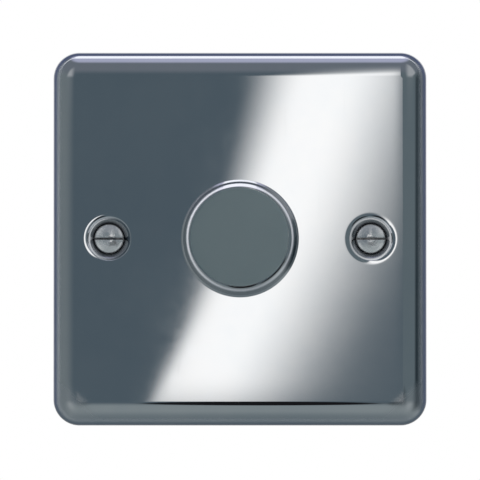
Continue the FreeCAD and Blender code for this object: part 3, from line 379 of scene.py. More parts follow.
finishes = {
    "polished_steel": makePolishedSteel(),
    "chrome_knob": makeChromeKnob(),
    "screw_nickel": makeScrewNickel(),
    "black_moulding": makeMoulding("black_moulding", (0.016, 0.016, 0.017, 1), (0.034, 0.034, 0.035, 1),
                                   (0.42, 0.58)),
    "white_moulding": makeMoulding("white_moulding", (0.74, 0.74, 0.71, 1), (0.81, 0.81, 0.78, 1), (0.40, 0.54)),
    "nylon": makeMoulding("nylon", (0.66, 0.65, 0.60, 1), (0.73, 0.72, 0.67, 1), (0.38, 0.50)),
    "phenolic": makeMoulding("phenolic", (0.12, 0.065, 0.035, 1), (0.20, 0.115, 0.065, 1), (0.50, 0.66), 1800.0),
    "aluminium": makeMetal("aluminium", (0.66, 0.67, 0.68, 1), (0.76, 0.77, 0.78, 1), (0.30, 0.44), 2600.0, 5e-6),
    "brass": makeMetal("brass", (0.62, 0.46, 0.21, 1), (0.78, 0.61, 0.32, 1), (0.22, 0.36), 3200.0, 3e-6),
    "zinc_steel": makeMetal("zinc_steel", (0.55, 0.56, 0.55, 1), (0.67, 0.68, 0.66, 1), (0.28, 0.42), 1500.0, 4e-6),
    "spring_steel": makeMetal("spring_steel", (0.40, 0.40, 0.41, 1), (0.50, 0.50, 0.51, 1), (0.22, 0.34)),
    "spring_bronze": makeMetal("spring_bronze", (0.58, 0.37, 0.19, 1), (0.72, 0.49, 0.28, 1), (0.24, 0.36)),
    "copper": makeMetal("copper", (0.56, 0.24, 0.10, 1), (0.72, 0.36, 0.17, 1), (0.20, 0.34)),
    "board": makeMoulding("board", (0.035, 0.17, 0.08, 1), (0.065, 0.27, 0.14, 1), (0.30, 0.46), 1500.0),
    "ferrite": makeMoulding("ferrite", (0.05, 0.05, 0.055, 1), (0.10, 0.10, 0.105, 1), (0.55, 0.75), 1600.0, 2e-5),
    "film_capacitor": makeMoulding("film_capacitor", (0.55, 0.43, 0.11, 1), (0.68, 0.56, 0.18, 1), (0.36, 0.50)),
    "small_capacitor": makeMoulding("small_capacitor", (0.42, 0.065, 0.045, 1), (0.56, 0.12, 0.08, 1),
                                    (0.28, 0.42)),
    "fuse_ceramic": makeBanded("fuse_ceramic", (0.76, 0.74, 0.68, 1), (0.84, 0.82, 0.76, 1), [], (0.30, 0.45),
                               {"middle": middleOf("fuse", 2), "from": 5.6 * mm}),
    "resistor": makeBanded("resistor", (0.56, 0.44, 0.28, 1), (0.66, 0.54, 0.37, 1),
                           [(middleOf("resistors", 2) + step * mm, 0.28 * mm, tint) for step, tint in (
                               (-1.5, (0.25, 0.09, 0.03, 1)), (-0.5, (0.02, 0.02, 0.02, 1)),
                               (0.5, (0.62, 0.20, 0.03, 1)), (1.6, (0.60, 0.43, 0.10, 1)))], (0.34, 0.48)),
    "diac_glass": makeBanded("diac_glass", (0.30, 0.09, 0.035, 1), (0.42, 0.16, 0.07, 1),
                             [(middleOf("diac", 2) + 0.9 * mm, 0.3 * mm, (0.02, 0.02, 0.02, 1))], (0.08, 0.16)),
    "semiconductor": makeMoulding("semiconductor", (0.028, 0.028, 0.029, 1), (0.055, 0.055, 0.056, 1),
                                  (0.45, 0.60)),
}
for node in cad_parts.values():
    for given in node.material_slots:
        slotName = given.material.name.split(".")[0]
        given.material = finishes[slotName]
print("finishes on every CAD node:", len(finishes))


# modelling helpers

weldDistance = {"drawn": 1e-6, "cad": 2e-6}


def deselectAll():
    bpy.ops.object.select_all(action="DESELECT")


def onlyActive(piece):
    deselectAll()
    piece.select_set(True)
    bpy.context.view_layer.objects.active = piece


# path of (radius, depth, rounding) corners, with the roundings worked into it
def roundedPath(corners, steps):
    path = []
    for number, (x, y, rounding) in enumerate(corners):
        here = Vector((x, y))
        if rounding == 0 or number in (0, len(corners) - 1):
            path.append(here)
            continue
        back = (Vector(corners[number - 1][:2]) - here).normalized()
        ahead = (Vector(corners[number + 1][:2]) - here).normalized()
        half = math.acos(max(-1.0, min(1.0, back.dot(ahead)))) / 2
        centre = here + (back + ahead).normalized() * (rounding / math.sin(half))
        first = here + back * (rounding / math.tan(half)) - centre
        turn = first.angle_signed(here + ahead * (rounding / math.tan(half)) - centre)
        for step in range(steps + 1):
            angle = -turn * step / steps
            path.append(centre + Vector((first.x * math.cos(angle) - first.y * math.sin(angle),
                                         first.x * math.sin(angle) + first.y * math.cos(angle))))
    return path


# one vertex drawn along the path, then left in edit mode
def drawPath(name, path):
    deselectAll()
    bpy.ops.mesh.primitive_plane_add(size=mm)
    piece = bpy.context.object
    piece.name = name
    piece.data.name = name
    bpy.ops.object.mode_set(mode="EDIT")
    bpy.ops.mesh.select_all(action="SELECT")
    bpy.ops.mesh.merge(type="CENTER")
    bpy.ops.transform.translate(value=(path[0].x, path[0].y, 0))
    for before, after in zip(path, path[1:]):
        step = (after.x - before.x, after.y - before.y, 0)
        bpy.ops.mesh.extrude_vertices_move(TRANSFORM_OT_translate={"value": step})
    return piece


def spinPath(steps):
    bpy.ops.mesh.select_all(action="SELECT")
    bpy.ops.mesh.spin(steps=steps, angle=2 * math.pi, center=(0, 0, 0), axis=(0, 1, 0))
    bpy.ops.mesh.select_all(action="SELECT")
    bpy.ops.mesh.remove_doubles(threshold=weldDistance["drawn"])
    bpy.ops.mesh.normals_make_consistent(inside=False)
    bpy.ops.object.mode_set(mode="OBJECT")


def applyModifier(piece, kind, **values):
    modifier = piece.modifiers.new(kind.lower(), kind)
    for label, value in values.items():
        setattr(modifier, label, value)
    onlyActive(piece)
    bpy.ops.object.modifier_apply(modifier=modifier.name)


def easeEdges(piece, width, segments, angle):
    applyModifier(piece, "BEVEL", width=width, segments=segments, limit_method="ANGLE",
                  angle_limit=math.radians(angle))


def selectBy(piece, part, test):
    mesh = bmesh.from_edit_mesh(piece.data)
    for item in getattr(mesh, part):
        item.select_set(False)
    for item in getattr(mesh, part):
        if test(item):
            item.select_set(True)
    mesh.select_flush_mode()
    bmesh.update_edit_mesh(piece.data)


def movePiece(piece, shift):
    onlyActive(piece)
    bpy.ops.transform.translate(value=shift)
    bpy.ops.object.transform_apply(location=True, rotation=True, scale=True)


def copyPiece(piece, name, shift):
    twin = piece.copy()
    twin.data = piece.data.copy()
    twin.name = name
    twin.data.name = name
    bpy.context.scene.collection.objects.link(twin)
    movePiece(twin, shift)
    return twin


def joinPieces(pieces):
    onlyActive(pieces[0])
    for other in pieces[1:]:
        other.select_set(True)
    bpy.ops.object.join()


def finishPiece(piece, body, slotName, nodeName, angle=30):
    onlyActive(piece)
    bpy.ops.object.shade_smooth_by_angle(angle=math.radians(angle))
    applyModifier(piece, "WEIGHTED_NORMAL", keep_sharp=True, weight=100, use_face_influence=True)
    piece.data.materials.clear()
    piece.data.materials.append(finishes[slotName])
    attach(piece, body)
    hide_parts(nodeName)


# front plate: a pressed pan with a rolled rim and two screw dimples
plateLow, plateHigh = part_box("front_plate")
plateSkin = {"corner": 6 * mm, "rimAcross": 5.6 * mm, "rimDown": 4.3 * mm, "edgeRound": 3.2 * mm, "sheet": 1 * mm,
             "dimpleRadius": 5.1 * mm, "crownRadius": 5.62 * mm, "crownTilt": 6.0, "crown": 9 * mm, "lip": 0.3 * mm,
             "dimpleFlat": 0.7 * mm, "boreRadius": 2.1 * mm, "holeRadius": 5.15 * mm, "holeFlat": 0.4 * mm,
             "cornerSteps": 24, "rimSteps": 26, "roundSteps": 10, "turns": 96, "smoothAngle": 40,
             "level": 0.001 * mm}


# distance in from the outer edge and height above the wall at a tilt of the rim
def rimPoint(tilt):
    edge = plateSkin["edgeRound"]
    across, down = plateSkin["rimAcross"], plateSkin["rimDown"]
    crest = ((across - edge) ** 2 + (down - edge) ** 2) / (2 * (down - edge)) + edge
    join = math.asin((across - edge) / (crest - edge))
    foot = (plateHigh.y - plateLow.y) - down
    if tilt > join:
        return edge - edge * math.sin(tilt), foot + edge * math.cos(tilt)
    return across - crest * math.sin(tilt), foot + down - crest + crest * math.cos(tilt)


def makePlate():
    side = plateHigh.x - plateLow.x
    deselectAll()
    bpy.ops.mesh.primitive_plane_add(size=side, rotation=(math.pi / 2, 0, 0))
    plate = bpy.context.object
    plate.name = "plate_skin"
    plate.data.name = "plate_skin"
    bpy.ops.object.transform_apply(location=True, rotation=True, scale=True)
    bpy.ops.object.mode_set(mode="EDIT")
    bpy.ops.mesh.select_all(action="SELECT")
    bpy.ops.mesh.bevel(offset=plateSkin["corner"], segments=plateSkin["cornerSteps"], affect="VERTICES")
    bpy.ops.mesh.select_all(action="SELECT")
    tilts = [math.pi / 2 * (1 - step / plateSkin["rimSteps"]) for step in range(plateSkin["rimSteps"] + 1)]
    bpy.ops.mesh.extrude_region_move(TRANSFORM_OT_translate={"value": (0, -rimPoint(tilts[0])[1], 0)})
    for before, after in zip(tilts, tilts[1:]):
        fromEdge, fromHeight = rimPoint(before)
        toEdge, toHeight = rimPoint(after)
        bpy.ops.mesh.inset(thickness=toEdge - fromEdge, depth=toHeight - fromHeight, use_even_offset=True)
    bpy.ops.mesh.delete(type="ONLY_FACE")
    # the sheet that the pan was drawn from is still there at the wall plane
    nearWall = -0.1 * mm
    selectBy(plate, "faces", lambda face: abs(face.normal.y) > 0.9 and face.calc_center_median().y > nearWall)
    bpy.ops.mesh.delete(type="ONLY_FACE")
    bpy.ops.object.mode_set(mode="OBJECT")

    # dimples and the edge of the bush hole, spun on their own and joined to the pan
    top = plateLow.y
    bore = plateSkin["boreRadius"]
    cone = plateSkin["dimpleRadius"]
    crown = plateSkin["crownRadius"]
    slope = math.tan(math.radians(plateSkin["crownTilt"]))
    lip = (cone - crown * slope) / (1 - slope)
    dimple = drawPath("dimple", roundedPath([
        (crown + plateSkin["dimpleFlat"], top, 0),
        (crown, top, plateSkin["crown"]),
        (lip, top + cone - lip, plateSkin["lip"]),
        (bore, top + cone - bore, 0)], plateSkin["roundSteps"]))
    spinPath(plateSkin["turns"])
    other = copyPiece(dimple, "dimple_other", (screwX, 0, 0))
    movePiece(dimple, (-screwX, 0, 0))
    hole, holeFlat = plateSkin["holeRadius"], plateSkin["holeFlat"]
    bushRing = drawPath("bush_ring", [Vector((hole + holeFlat, top)), Vector((hole, top))])
    spinPath(plateSkin["turns"])
    joinPieces([plate, dimple, other, bushRing])

    bpy.ops.object.mode_set(mode="EDIT")
    bpy.ops.mesh.select_mode(type="EDGE")
    selectBy(plate, "edges", lambda edge: edge.is_boundary
             and all(abs(corner.co.y - top) < plateSkin["level"] for corner in edge.verts)
             and edge.verts[0].co.xz.length > hole + holeFlat / 2)
    bpy.ops.mesh.fill(use_beauty=True)
    bpy.ops.mesh.select_mode(type="VERT")
    bpy.ops.mesh.select_all(action="SELECT")
    bpy.ops.mesh.remove_doubles(threshold=weldDistance["drawn"])
    bpy.ops.mesh.normals_make_consistent(inside=False)
    bpy.ops.object.mode_set(mode="OBJECT")
    flat = max(plate.data.polygons, key=lambda face: face.area)
    if flat.normal.y > 0:
        plate.data.flip_normals()
    applyModifier(plate, "SOLIDIFY", thickness=plateSkin["sheet"], offset=-1, use_even_offset=True,
                  use_quality_normals=True)

    # the flat keeps its own normal up to the rim, so nothing shows of its triangles
    bpy.ops.object.mode_set(mode="EDIT")
    bpy.ops.mesh.select_mode(type="FACE")
    levelNormal = 0.99999
    selectBy(plate, "faces", lambda face: abs(face.normal.y) > levelNormal)
    bpy.ops.mesh.mod_weighted_strength(set=True, face_strength="STRONG")
    bpy.ops.mesh.select_mode(type="VERT")
    bpy.ops.object.mode_set(mode="OBJECT")
    finishPiece(plate, "base", "polished_steel", "front_plate", plateSkin["smoothAngle"])


makePlate()
print("front plate made")


# knob: skirt, flare, leaning wall, bevel and flat face, hollow behind
knobLow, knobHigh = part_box("knob_cap")
knobShape = {"skirt": 0.8 * mm, "step": 0.45 * mm, "flareHeight": 0.95 * mm, "waist": 12.50 * mm,
             "waistRound": 0.3 * mm, "shoulder": 12.40 * mm, "bevel": 0.78 * mm, "bevelRound": 0.2 * mm,
             "crownRadius": 11.17 * mm, "crownTilt": 8.0, "crownRound": 4.5 * mm, "faceRound": 0.35 * mm,
             "edge": 0.08 * mm, "wall": 1.0 * mm, "innerBevel": 0.4 * mm,
             "roundSteps": 10, "turns": 192, "smoothAngle": 20}


def makeKnob():
    front, foot = knobLow.y, knobHigh.y
    skirtRadius = knobHigh.x
    shape = knobShape
    wall, innerBevel = shape["wall"], shape["innerBevel"]
    skirtTop = foot - shape["skirt"]
    faceEdge = shape["shoulder"] - shape["bevel"]
    faceDrop = (faceEdge - shape["crownRadius"]) * math.tan(math.radians(shape["crownTilt"]))
    knob = drawPath("knob_shell", roundedPath([
        (0, front, 0),
        (shape["crownRadius"], front, shape["crownRound"]),
        (faceEdge, front + faceDrop, shape["faceRound"]),
        (shape["shoulder"], front + faceDrop + shape["bevel"], shape["bevelRound"]),
        (shape["waist"], skirtTop - shape["step"] - shape["flareHeight"], shape["waistRound"]),
        (skirtRadius - shape["step"], skirtTop - shape["step"], shape["edge"]),
        (skirtRadius, skirtTop, shape["edge"]),
        (skirtRadius, foot, shape["edge"]),
        (shape["waist"] - wall, foot, shape["edge"]),
        (shape["shoulder"] - wall, front + wall + innerBevel, 0),
        (shape["shoulder"] - wall - innerBevel, front + wall, 0),
        (0, front + wall, 0)], shape["roundSteps"]))
    spinPath(shape["turns"])
    finishPiece(knob, "spindle", "chrome_knob", "knob_cap", shape["smoothAngle"])


makeKnob()
print("knob made")


threadShape = {"sunk": 0.1 * mm, "crestFrom": 0.42, "crestTo": 0.58, "steps": 32}


# a V thread wound along the Y axis from its start, to be joined to a shank
def makeThread(name, crest, root, pitch, start, turns):
    buried = root - threadShape["sunk"]
    thread = drawPath(name, [Vector(point) for point in (
        (buried, start), (root, start),
        (crest, start + pitch * threadShape["crestFrom"]), (crest, start + pitch * threadShape["crestTo"]),
        (root, start + pitch), (buried, start + pitch))])
    bpy.ops.mesh.select_all(action="SELECT")
    bpy.ops.mesh.edge_face_add()
    bpy.ops.mesh.delete(type="ONLY_FACE")
    bpy.ops.object.mode_set(mode="OBJECT")
    applyModifier(thread, "SCREW", axis="Y", angle=2 * math.pi, screw_offset=pitch, iterations=turns,
                  steps=threadShape["steps"], render_steps=threadShape["steps"], use_merge_vertices=False)
    bpy.ops.object.mode_set(mode="EDIT")
    bpy.ops.mesh.select_all(action="SELECT")
    bpy.ops.mesh.fill_holes(sides=8)
    bpy.ops.mesh.normals_make_consistent(inside=False)
    bpy.ops.object.mode_set(mode="OBJECT")
    return thread


def cutSlot(screw, width, low, high, reach):
    deselectAll()
    bpy.ops.mesh.primitive_cube_add(size=1)
    cutter = bpy.context.object
    bpy.ops.transform.resize(value=(reach * 2, high - low, width))
    bpy.ops.transform.translate(value=(0, (low + high) / 2, 0))
    bpy.ops.object.transform_apply(location=True, rotation=True, scale=True)
    applyModifier(screw, "BOOLEAN", operation="DIFFERENCE", solver="EXACT", object=cutter)
    bpy.data.objects.remove(cutter)


# the faces of the slot are marked for the painted shade of the finish
def markSlot(screw, width):
    slot_shade = screw.data.attributes.new("slot_shade", "FLOAT", "FACE")
    square, reach = 0.99, width / 2 + 0.01 * mm
    for face in screw.data.polygons:
        isWall = abs(face.normal.z) > square
        isFlat = isWall or abs(face.normal.y) > square
        inSlot = abs(face.center.z) < reach
        allInSlot = all(abs(screw.data.vertices[number].co.z) < reach for number in face.vertices)
        slot_shade.data[face.index].value = 1.0 if isFlat and inSlot and (isWall or allInSlot) else 0.0


# fixing screws: domed raised heads with a slot, necked, then threaded
fixLow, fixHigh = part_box("fixing_screws")
fixingScrew = {"headRadius": 3.4 * mm, "crown": 0.62 * mm, "land": 0.5 * mm, "shoulder": 0.5 * mm,
               "neckRadius": 1.45 * mm, "neckLength": 1.2 * mm, "neckTaper": 0.3 * mm, "shankRadius": 1.75 * mm,
               "core": 1.4 * mm, "pitch": 0.6 * mm, "slotWidth": 0.55 * mm, "slotDepth": 1.1 * mm, "tip": 0.6 * mm,
               "tipSlope": 0.6, "edge": 0.05 * mm, "domeSteps": (0, 4, 6, 8, 10, 11), "domeParts": 14,
               "roundSteps": 6, "turns": 72}
slotEase = {"segments": 2, "angle": 35}


def makeFixingScrews():
    screw = fixingScrew
    top, end = fixLow.y, fixHigh.y
    head, crown = screw["headRadius"], screw["crown"]
    ball = (head ** 2 + crown ** 2) / (2 * crown)
    sweep = math.asin(head / ball)
    tilts = [sweep * step / screw["domeParts"] for step in screw["domeSteps"]]
    dome = [(ball * math.sin(tilt), top + ball - ball * math.cos(tilt), 0) for tilt in tilts]
    under = top + crown + screw["land"]
    cone = under + head - screw["neckRadius"]
    shankStart = cone + screw["neckLength"]
    path = dome + [
        (head, top + crown, screw["shoulder"]), (head, under, 0),
        (screw["neckRadius"], cone, 0), (screw["neckRadius"], shankStart, 0),
        (screw["core"], shankStart + screw["neckTaper"], 0), (screw["core"], end - screw["tip"], 0),
        (screw["core"] - screw["tip"] * screw["tipSlope"], end, 0), (0, end, 0)]
    left = drawPath("fixing_screw_left", roundedPath(path, screw["roundSteps"]))
    spinPath(screw["turns"])
    cutSlot(left, screw["slotWidth"], top - mm, top + screw["slotDepth"], head + mm)
    markSlot(left, screw["slotWidth"])
    easeEdges(left, screw["edge"], **slotEase)
    turns = int((end - screw["tip"] - shankStart) / screw["pitch"]) - 1
    thread = makeThread("fixing_thread", screw["shankRadius"], screw["core"], screw["pitch"], shankStart, turns)
    joinPieces([left, thread])

    centre = (fixHigh.x - head, 0, (fixLow.z + fixHigh.z) / 2)
    right = copyPiece(left, "fixing_screw_right", centre)
    movePiece(left, (-centre[0], 0, centre[2]))
    finishPiece(left, "base", "screw_nickel", "fixing_screws")
    finishPiece(right, "base", "screw_nickel", "fixing_screws")


makeFixingScrews()
print("fixing screws made")


# clamp screws of the three cable terminals and of the earth terminal: cheese heads
clampLow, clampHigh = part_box("terminal_screws")
earthLow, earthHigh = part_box("earth_screw")
clampScrew = {"headRadius": 2.6 * mm, "headInner": 1.2 * mm, "headThick": 2.0 * mm, "round": 0.3 * mm,
              "underRound": 0.12 * mm, "shankRadius": 1.5 * mm, "neckIn": 0.1 * mm, "neckTaper": 0.3 * mm,
              "core": 1.22 * mm, "pitch": 0.5 * mm, "slotWidth": 0.9 * mm, "slotDepth": 1.0 * mm, "tip": 0.35 * mm,
              "edge": 0.06 * mm, "roundSteps": 5, "turns": 64}


def makeClampScrews():
    screw = clampScrew
    end, top = clampLow.y, clampHigh.y
    head, core = screw["headRadius"], screw["core"]
    under = top - screw["headThick"]
    first = drawPath("terminal_screw_1", roundedPath([
        (0, top, 0), (screw["headInner"], top, 0),
        (head, top, screw["round"]), (head, under, screw["underRound"]),
        (screw["shankRadius"] - screw["neckIn"], under, 0), (core, under - screw["neckTaper"], 0),
        (core, end + screw["tip"], 0), (core - screw["tip"], end, 0), (0, end, 0)], screw["roundSteps"]))
    spinPath(screw["turns"])
    cutSlot(first, screw["slotWidth"], top - screw["slotDepth"], top + mm, head + mm)
    markSlot(first, screw["slotWidth"])
    easeEdges(first, screw["edge"], **slotEase)
    turns = int((under - end - screw["tip"]) / screw["pitch"]) - 2
    thread = makeThread("clamp_thread", screw["shankRadius"], core, screw["pitch"], end + screw["tip"], turns)
    joinPieces([first, thread])

    reach = clampHigh.x - head
    row = (clampLow.z + clampHigh.z) / 2
    earthSpot = ((earthLow.x + earthHigh.x) / 2, earthHigh.y - top, (earthLow.z + earthHigh.z) / 2)
    second = copyPiece(first, "terminal_screw_2", (0, 0, row))
    third = copyPiece(first, "terminal_screw_3", (reach, 0, row))
    earth = copyPiece(first, "earth_clamp_screw", earthSpot)
    movePiece(first, (-reach, 0, row))
    for piece in (first, second, third):
        finishPiece(piece, "base", "zinc_steel", "terminal_screws")
    finishPiece(earth, "base", "zinc_steel", "earth_screw")


makeClampScrews()
print("clamp screws made")


# moulded and sawn pieces whose edges are eased on a merged copy
easedPieces = {"backing_frame": ("frame_moulding", "black_moulding", 0.25 * mm),
               "module_case": ("case_moulding", "white_moulding", 0.2 * mm),
               "earth_terminal": ("earth_block", "brass", 0.2 * mm),
               "terminal_line_1": ("line_block_1", "brass", 0.2 * mm),
               "terminal_common": ("common_block", "brass", 0.2 * mm),
               "terminal_line_2": ("line_block_2", "brass", 0.2 * mm)}
blockEase = {"segments": 3, "angle": 50}
flatWithin = 0.5  # degrees between faces of the solid that are taken as one


def mergedCopy(nodeName, name):
    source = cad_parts[nodeName]
    piece = bpy.data.objects.new(name, source.data.copy())
    piece.data.name = name
    piece.matrix_world = source.matrix_world.copy()
    bpy.context.scene.collection.objects.link(piece)
    onlyActive(piece)
    bpy.ops.object.transform_apply(location=True, rotation=True, scale=True)
    bpy.ops.mesh.customdata_custom_splitnormals_clear()
    bpy.ops.object.mode_set(mode="EDIT")
    bpy.ops.mesh.select_all(action="SELECT")
    bpy.ops.mesh.remove_doubles(threshold=weldDistance["cad"])
    bpy.ops.mesh.dissolve_limited(angle_limit=math.radians(flatWithin))
    bpy.ops.mesh.normals_make_consistent(inside=False)
    bpy.ops.object.mode_set(mode="OBJECT")
    return piece


for nodeName, (name, slotName, width) in easedPieces.items():
    piece = mergedCopy(nodeName, name)
    easeEdges(piece, width, **blockEase)
    finishPiece(piece, "base", slotName, nodeName)
print("eased pieces made:", len(easedPieces))


# return spring of the switch, which the plunger presses towards its seat, made as a merged copy with eased edges
returnSpring = {"travel": 1.2 * mm, "edge": 0.06 * mm, "segments": 2, "angle": 50}
spring = mergedCopy("switch_spring", "return_spring")
easeEdges(spring, returnSpring["edge"], returnSpring["segments"], returnSpring["angle"])
finishPiece(spring, "base", "spring_steel", "switch_spring")
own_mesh(spring)
print("return spring made")


# studio: tent of soft cards for the reflections, floor, world, lamps and camera
# places on the tent are in parts of its radius, or in mm where they follow the plate
studioTent = {"radius": 0.6, "tilt": 1.0, "segments": 64, "rings": 32, "slate": (0.105, 0.142, 0.170, 1)}

# colour, strength and where each card begins and is full, from the floor round to overhead
sideCards = (((0.30, 0.342, 0.355, 1), 1.0, (("z", -0.08, -0.42),)),
             (studioTent["slate"], 0.55, (("z", -0.65, -1.0),)),
             ((0.21, 0.245, 0.26, 1), 1.0, (("x", -0.25, -0.92),)),
             ((0.15, 0.19, 0.21, 1), 1.0, (("x", 0.088, 0.11), ("z", -0.40, -0.12))),
             ((0.095, 0.12, 0.135, 1), 1.0, (("x", 0.80, 0.90),)),
             ((0.19, 0.215, 0.25, 1), 1.0, (("z", 0.22, 0.60),)),
             ((0.56, 0.575, 0.75, 1), 1.0, (("z", 0.86, 0.95),)))
cornerCards = {"high": (0.47, 0.49, 0.51, 1), "low": (0.50, 0.53, 0.54, 1), "mix": (-0.2, 0.2),
               "across": (0.27, 0.56), "up": (0.08, 0.30), "begin": -0.58, "beginHighRight": -0.36,
               "highRight": (0.2, 0.4), "fade": 0.14}
frontWindow = {"colour": (1.52, 1.49, 1.46, 1), "edge": 19.4 * mm, "bow": 37.1 * mm, "bowHeight": -110 * mm,
               "riseFrom": -1 * mm, "riseTo": 9.6 * mm, "riseLean": 0.16, "leanLimit": 75 * mm,
               "fallFrom": 23.9 * mm, "fallFromLean": 0.13, "fallTo": 85 * mm, "fallToLean": 0.10,
               "tail": 0.06, "tailFrom": 45 * mm, "tailTo": 110 * mm, "right": (52.5 * mm, 58 * mm),
               "top": (0.15, 0.85), "foot": (-50 * mm, -26 * mm), "front": (-0.2, -0.4)}
blackFlags = {"colour": (0.012, 0.012, 0.014, 1), "edge": (1.1, 0.85), "front": (-0.3, -0.4),
              "ovals": ((7 * mm, -126 * mm, 41 * mm, 80 * mm), (121 * mm, -105 * mm, 60 * mm, 72 * mm))}
sideFlag = {"colour": (0.024, 0.037, 0.046, 1), "right": 1.06, "down": 0.28, "edge": (0.84, 0.97),
            "middle": -0.47, "half": (0.20, 0.10)}
rearCards = {"high": (0.115, 0.14, 0.235, 1), "low": (0.115, 0.15, 0.185, 1), "mix": (-0.6, 0.2),
             "edge": (0.08, 0.22), "boxes": (0.95, 0.95, 0.97, 1), "boxMix": (-0.5, 0.6, 0.35, 1.0),
             "boxEdge": (0.62, 0.85)}
ringLight = {"colour": (1.50, 1.51, 1.60, 1), "middle": -13 * mm, "half": 13 * mm, "fade": 3 * mm,
             "overhead": (0.94, 0.99), "overheadHalf": 50 * mm, "level": 0.54, "levelUp": 0.32, "levelLeft": 0.10,
             "topBoost": (0.90, 0.99, 0.0, 0.08)}
photoCamera = {"distance": 1.2, "elevation": -1.0, "aimHeight": -0.23 * mm, "frameWidth": 110.8 * mm,
               "sensor": 36.0, "clipStart": 0.01}
paleFloor = {"height": -0.13, "radius": 1.0, "sides": 96, "fade": (0.12, 0.55), "rough": 0.8, "paperScale": 300.0,
             "dark": (0.82, 0.82, 0.82, 1), "light": (0.86, 0.86, 0.86, 1)}
worldLight = 0.45
lampSize = 0.6
lamps = {"key_lamp": ((-0.55, -0.8, 0.9), 7.0), "side_lamp": ((0.9, -0.5, 0.4), 3.0),
         "rear_lamp": ((0.5, 0.8, 0.9), 7.0)}


def windowMask(tree, px, pz, y, z):
    shape = frontWindow
    bow = calc(tree, "EXPONENT", calc(tree, "DIVIDE", pz, shape["bowHeight"]))
    edge = calc(tree, "SUBTRACT", shape["edge"], times(tree, shape["bow"], bow))
    inner = calc(tree, "SUBTRACT", px, edge)
    riseTo = calc(tree, "ADD", shape["riseTo"], times(tree, pz, shape["riseLean"]))
    height = calc(tree, "MINIMUM", pz, shape["leanLimit"])
    fallFrom = calc(tree, "ADD", shape["fallFrom"], times(tree, height, shape["fallFromLean"]))
    fallTo = calc(tree, "ADD", shape["fallTo"], times(tree, height, shape["fallToLean"]))
    fall = spread(tree, inner, fallFrom, fallTo, 1.0, 0.0)
    tail = spread(tree, inner, shape["tailFrom"], shape["tailTo"], shape["tail"], 0.0)
    fall = calc(tree, "ADD", times(tree, times(tree, fall, fall), 1 - shape["tail"]), tail)
    window = times(tree, spread(tree, inner, shape["riseFrom"], riseTo), fall)
    window = times(tree, window, spread(tree, px, *shape["right"], 1.0, 0.0))
    window = times(tree, window, spread(tree, z, *shape["top"], 1.0, 0.0))
    window = times(tree, window, spread(tree, pz, *shape["foot"]))
    return times(tree, window, spread(tree, y, *shape["front"]))


# thin ring of light level with the knob, wide overhead
def ringMask(tree, py, x, z):
    shape = ringLight
    drop = studioTent["radius"] * math.tan(math.radians(studioTent["tilt"] - photoCamera["elevation"]))
    middle = calc(tree, "ADD", shape["middle"], times(tree, z, drop))
    half = calc(tree, "ADD", shape["half"], spread(tree, z, *shape["overhead"], 0.0, shape["overheadHalf"]))
    ring = spread(tree, offFrom(tree, py, middle), calc(tree, "ADD", half, shape["fade"]),
                  calc(tree, "SUBTRACT", half, shape["fade"]))
    lean = calc(tree, "SUBTRACT", times(tree, z, shape["levelUp"]), times(tree, x, shape["levelLeft"]))
    level = calc(tree, "ADD", calc(tree, "ADD", shape["level"], lean), spread(tree, z, *shape["topBoost"]))
    return times(tree, ring, level)


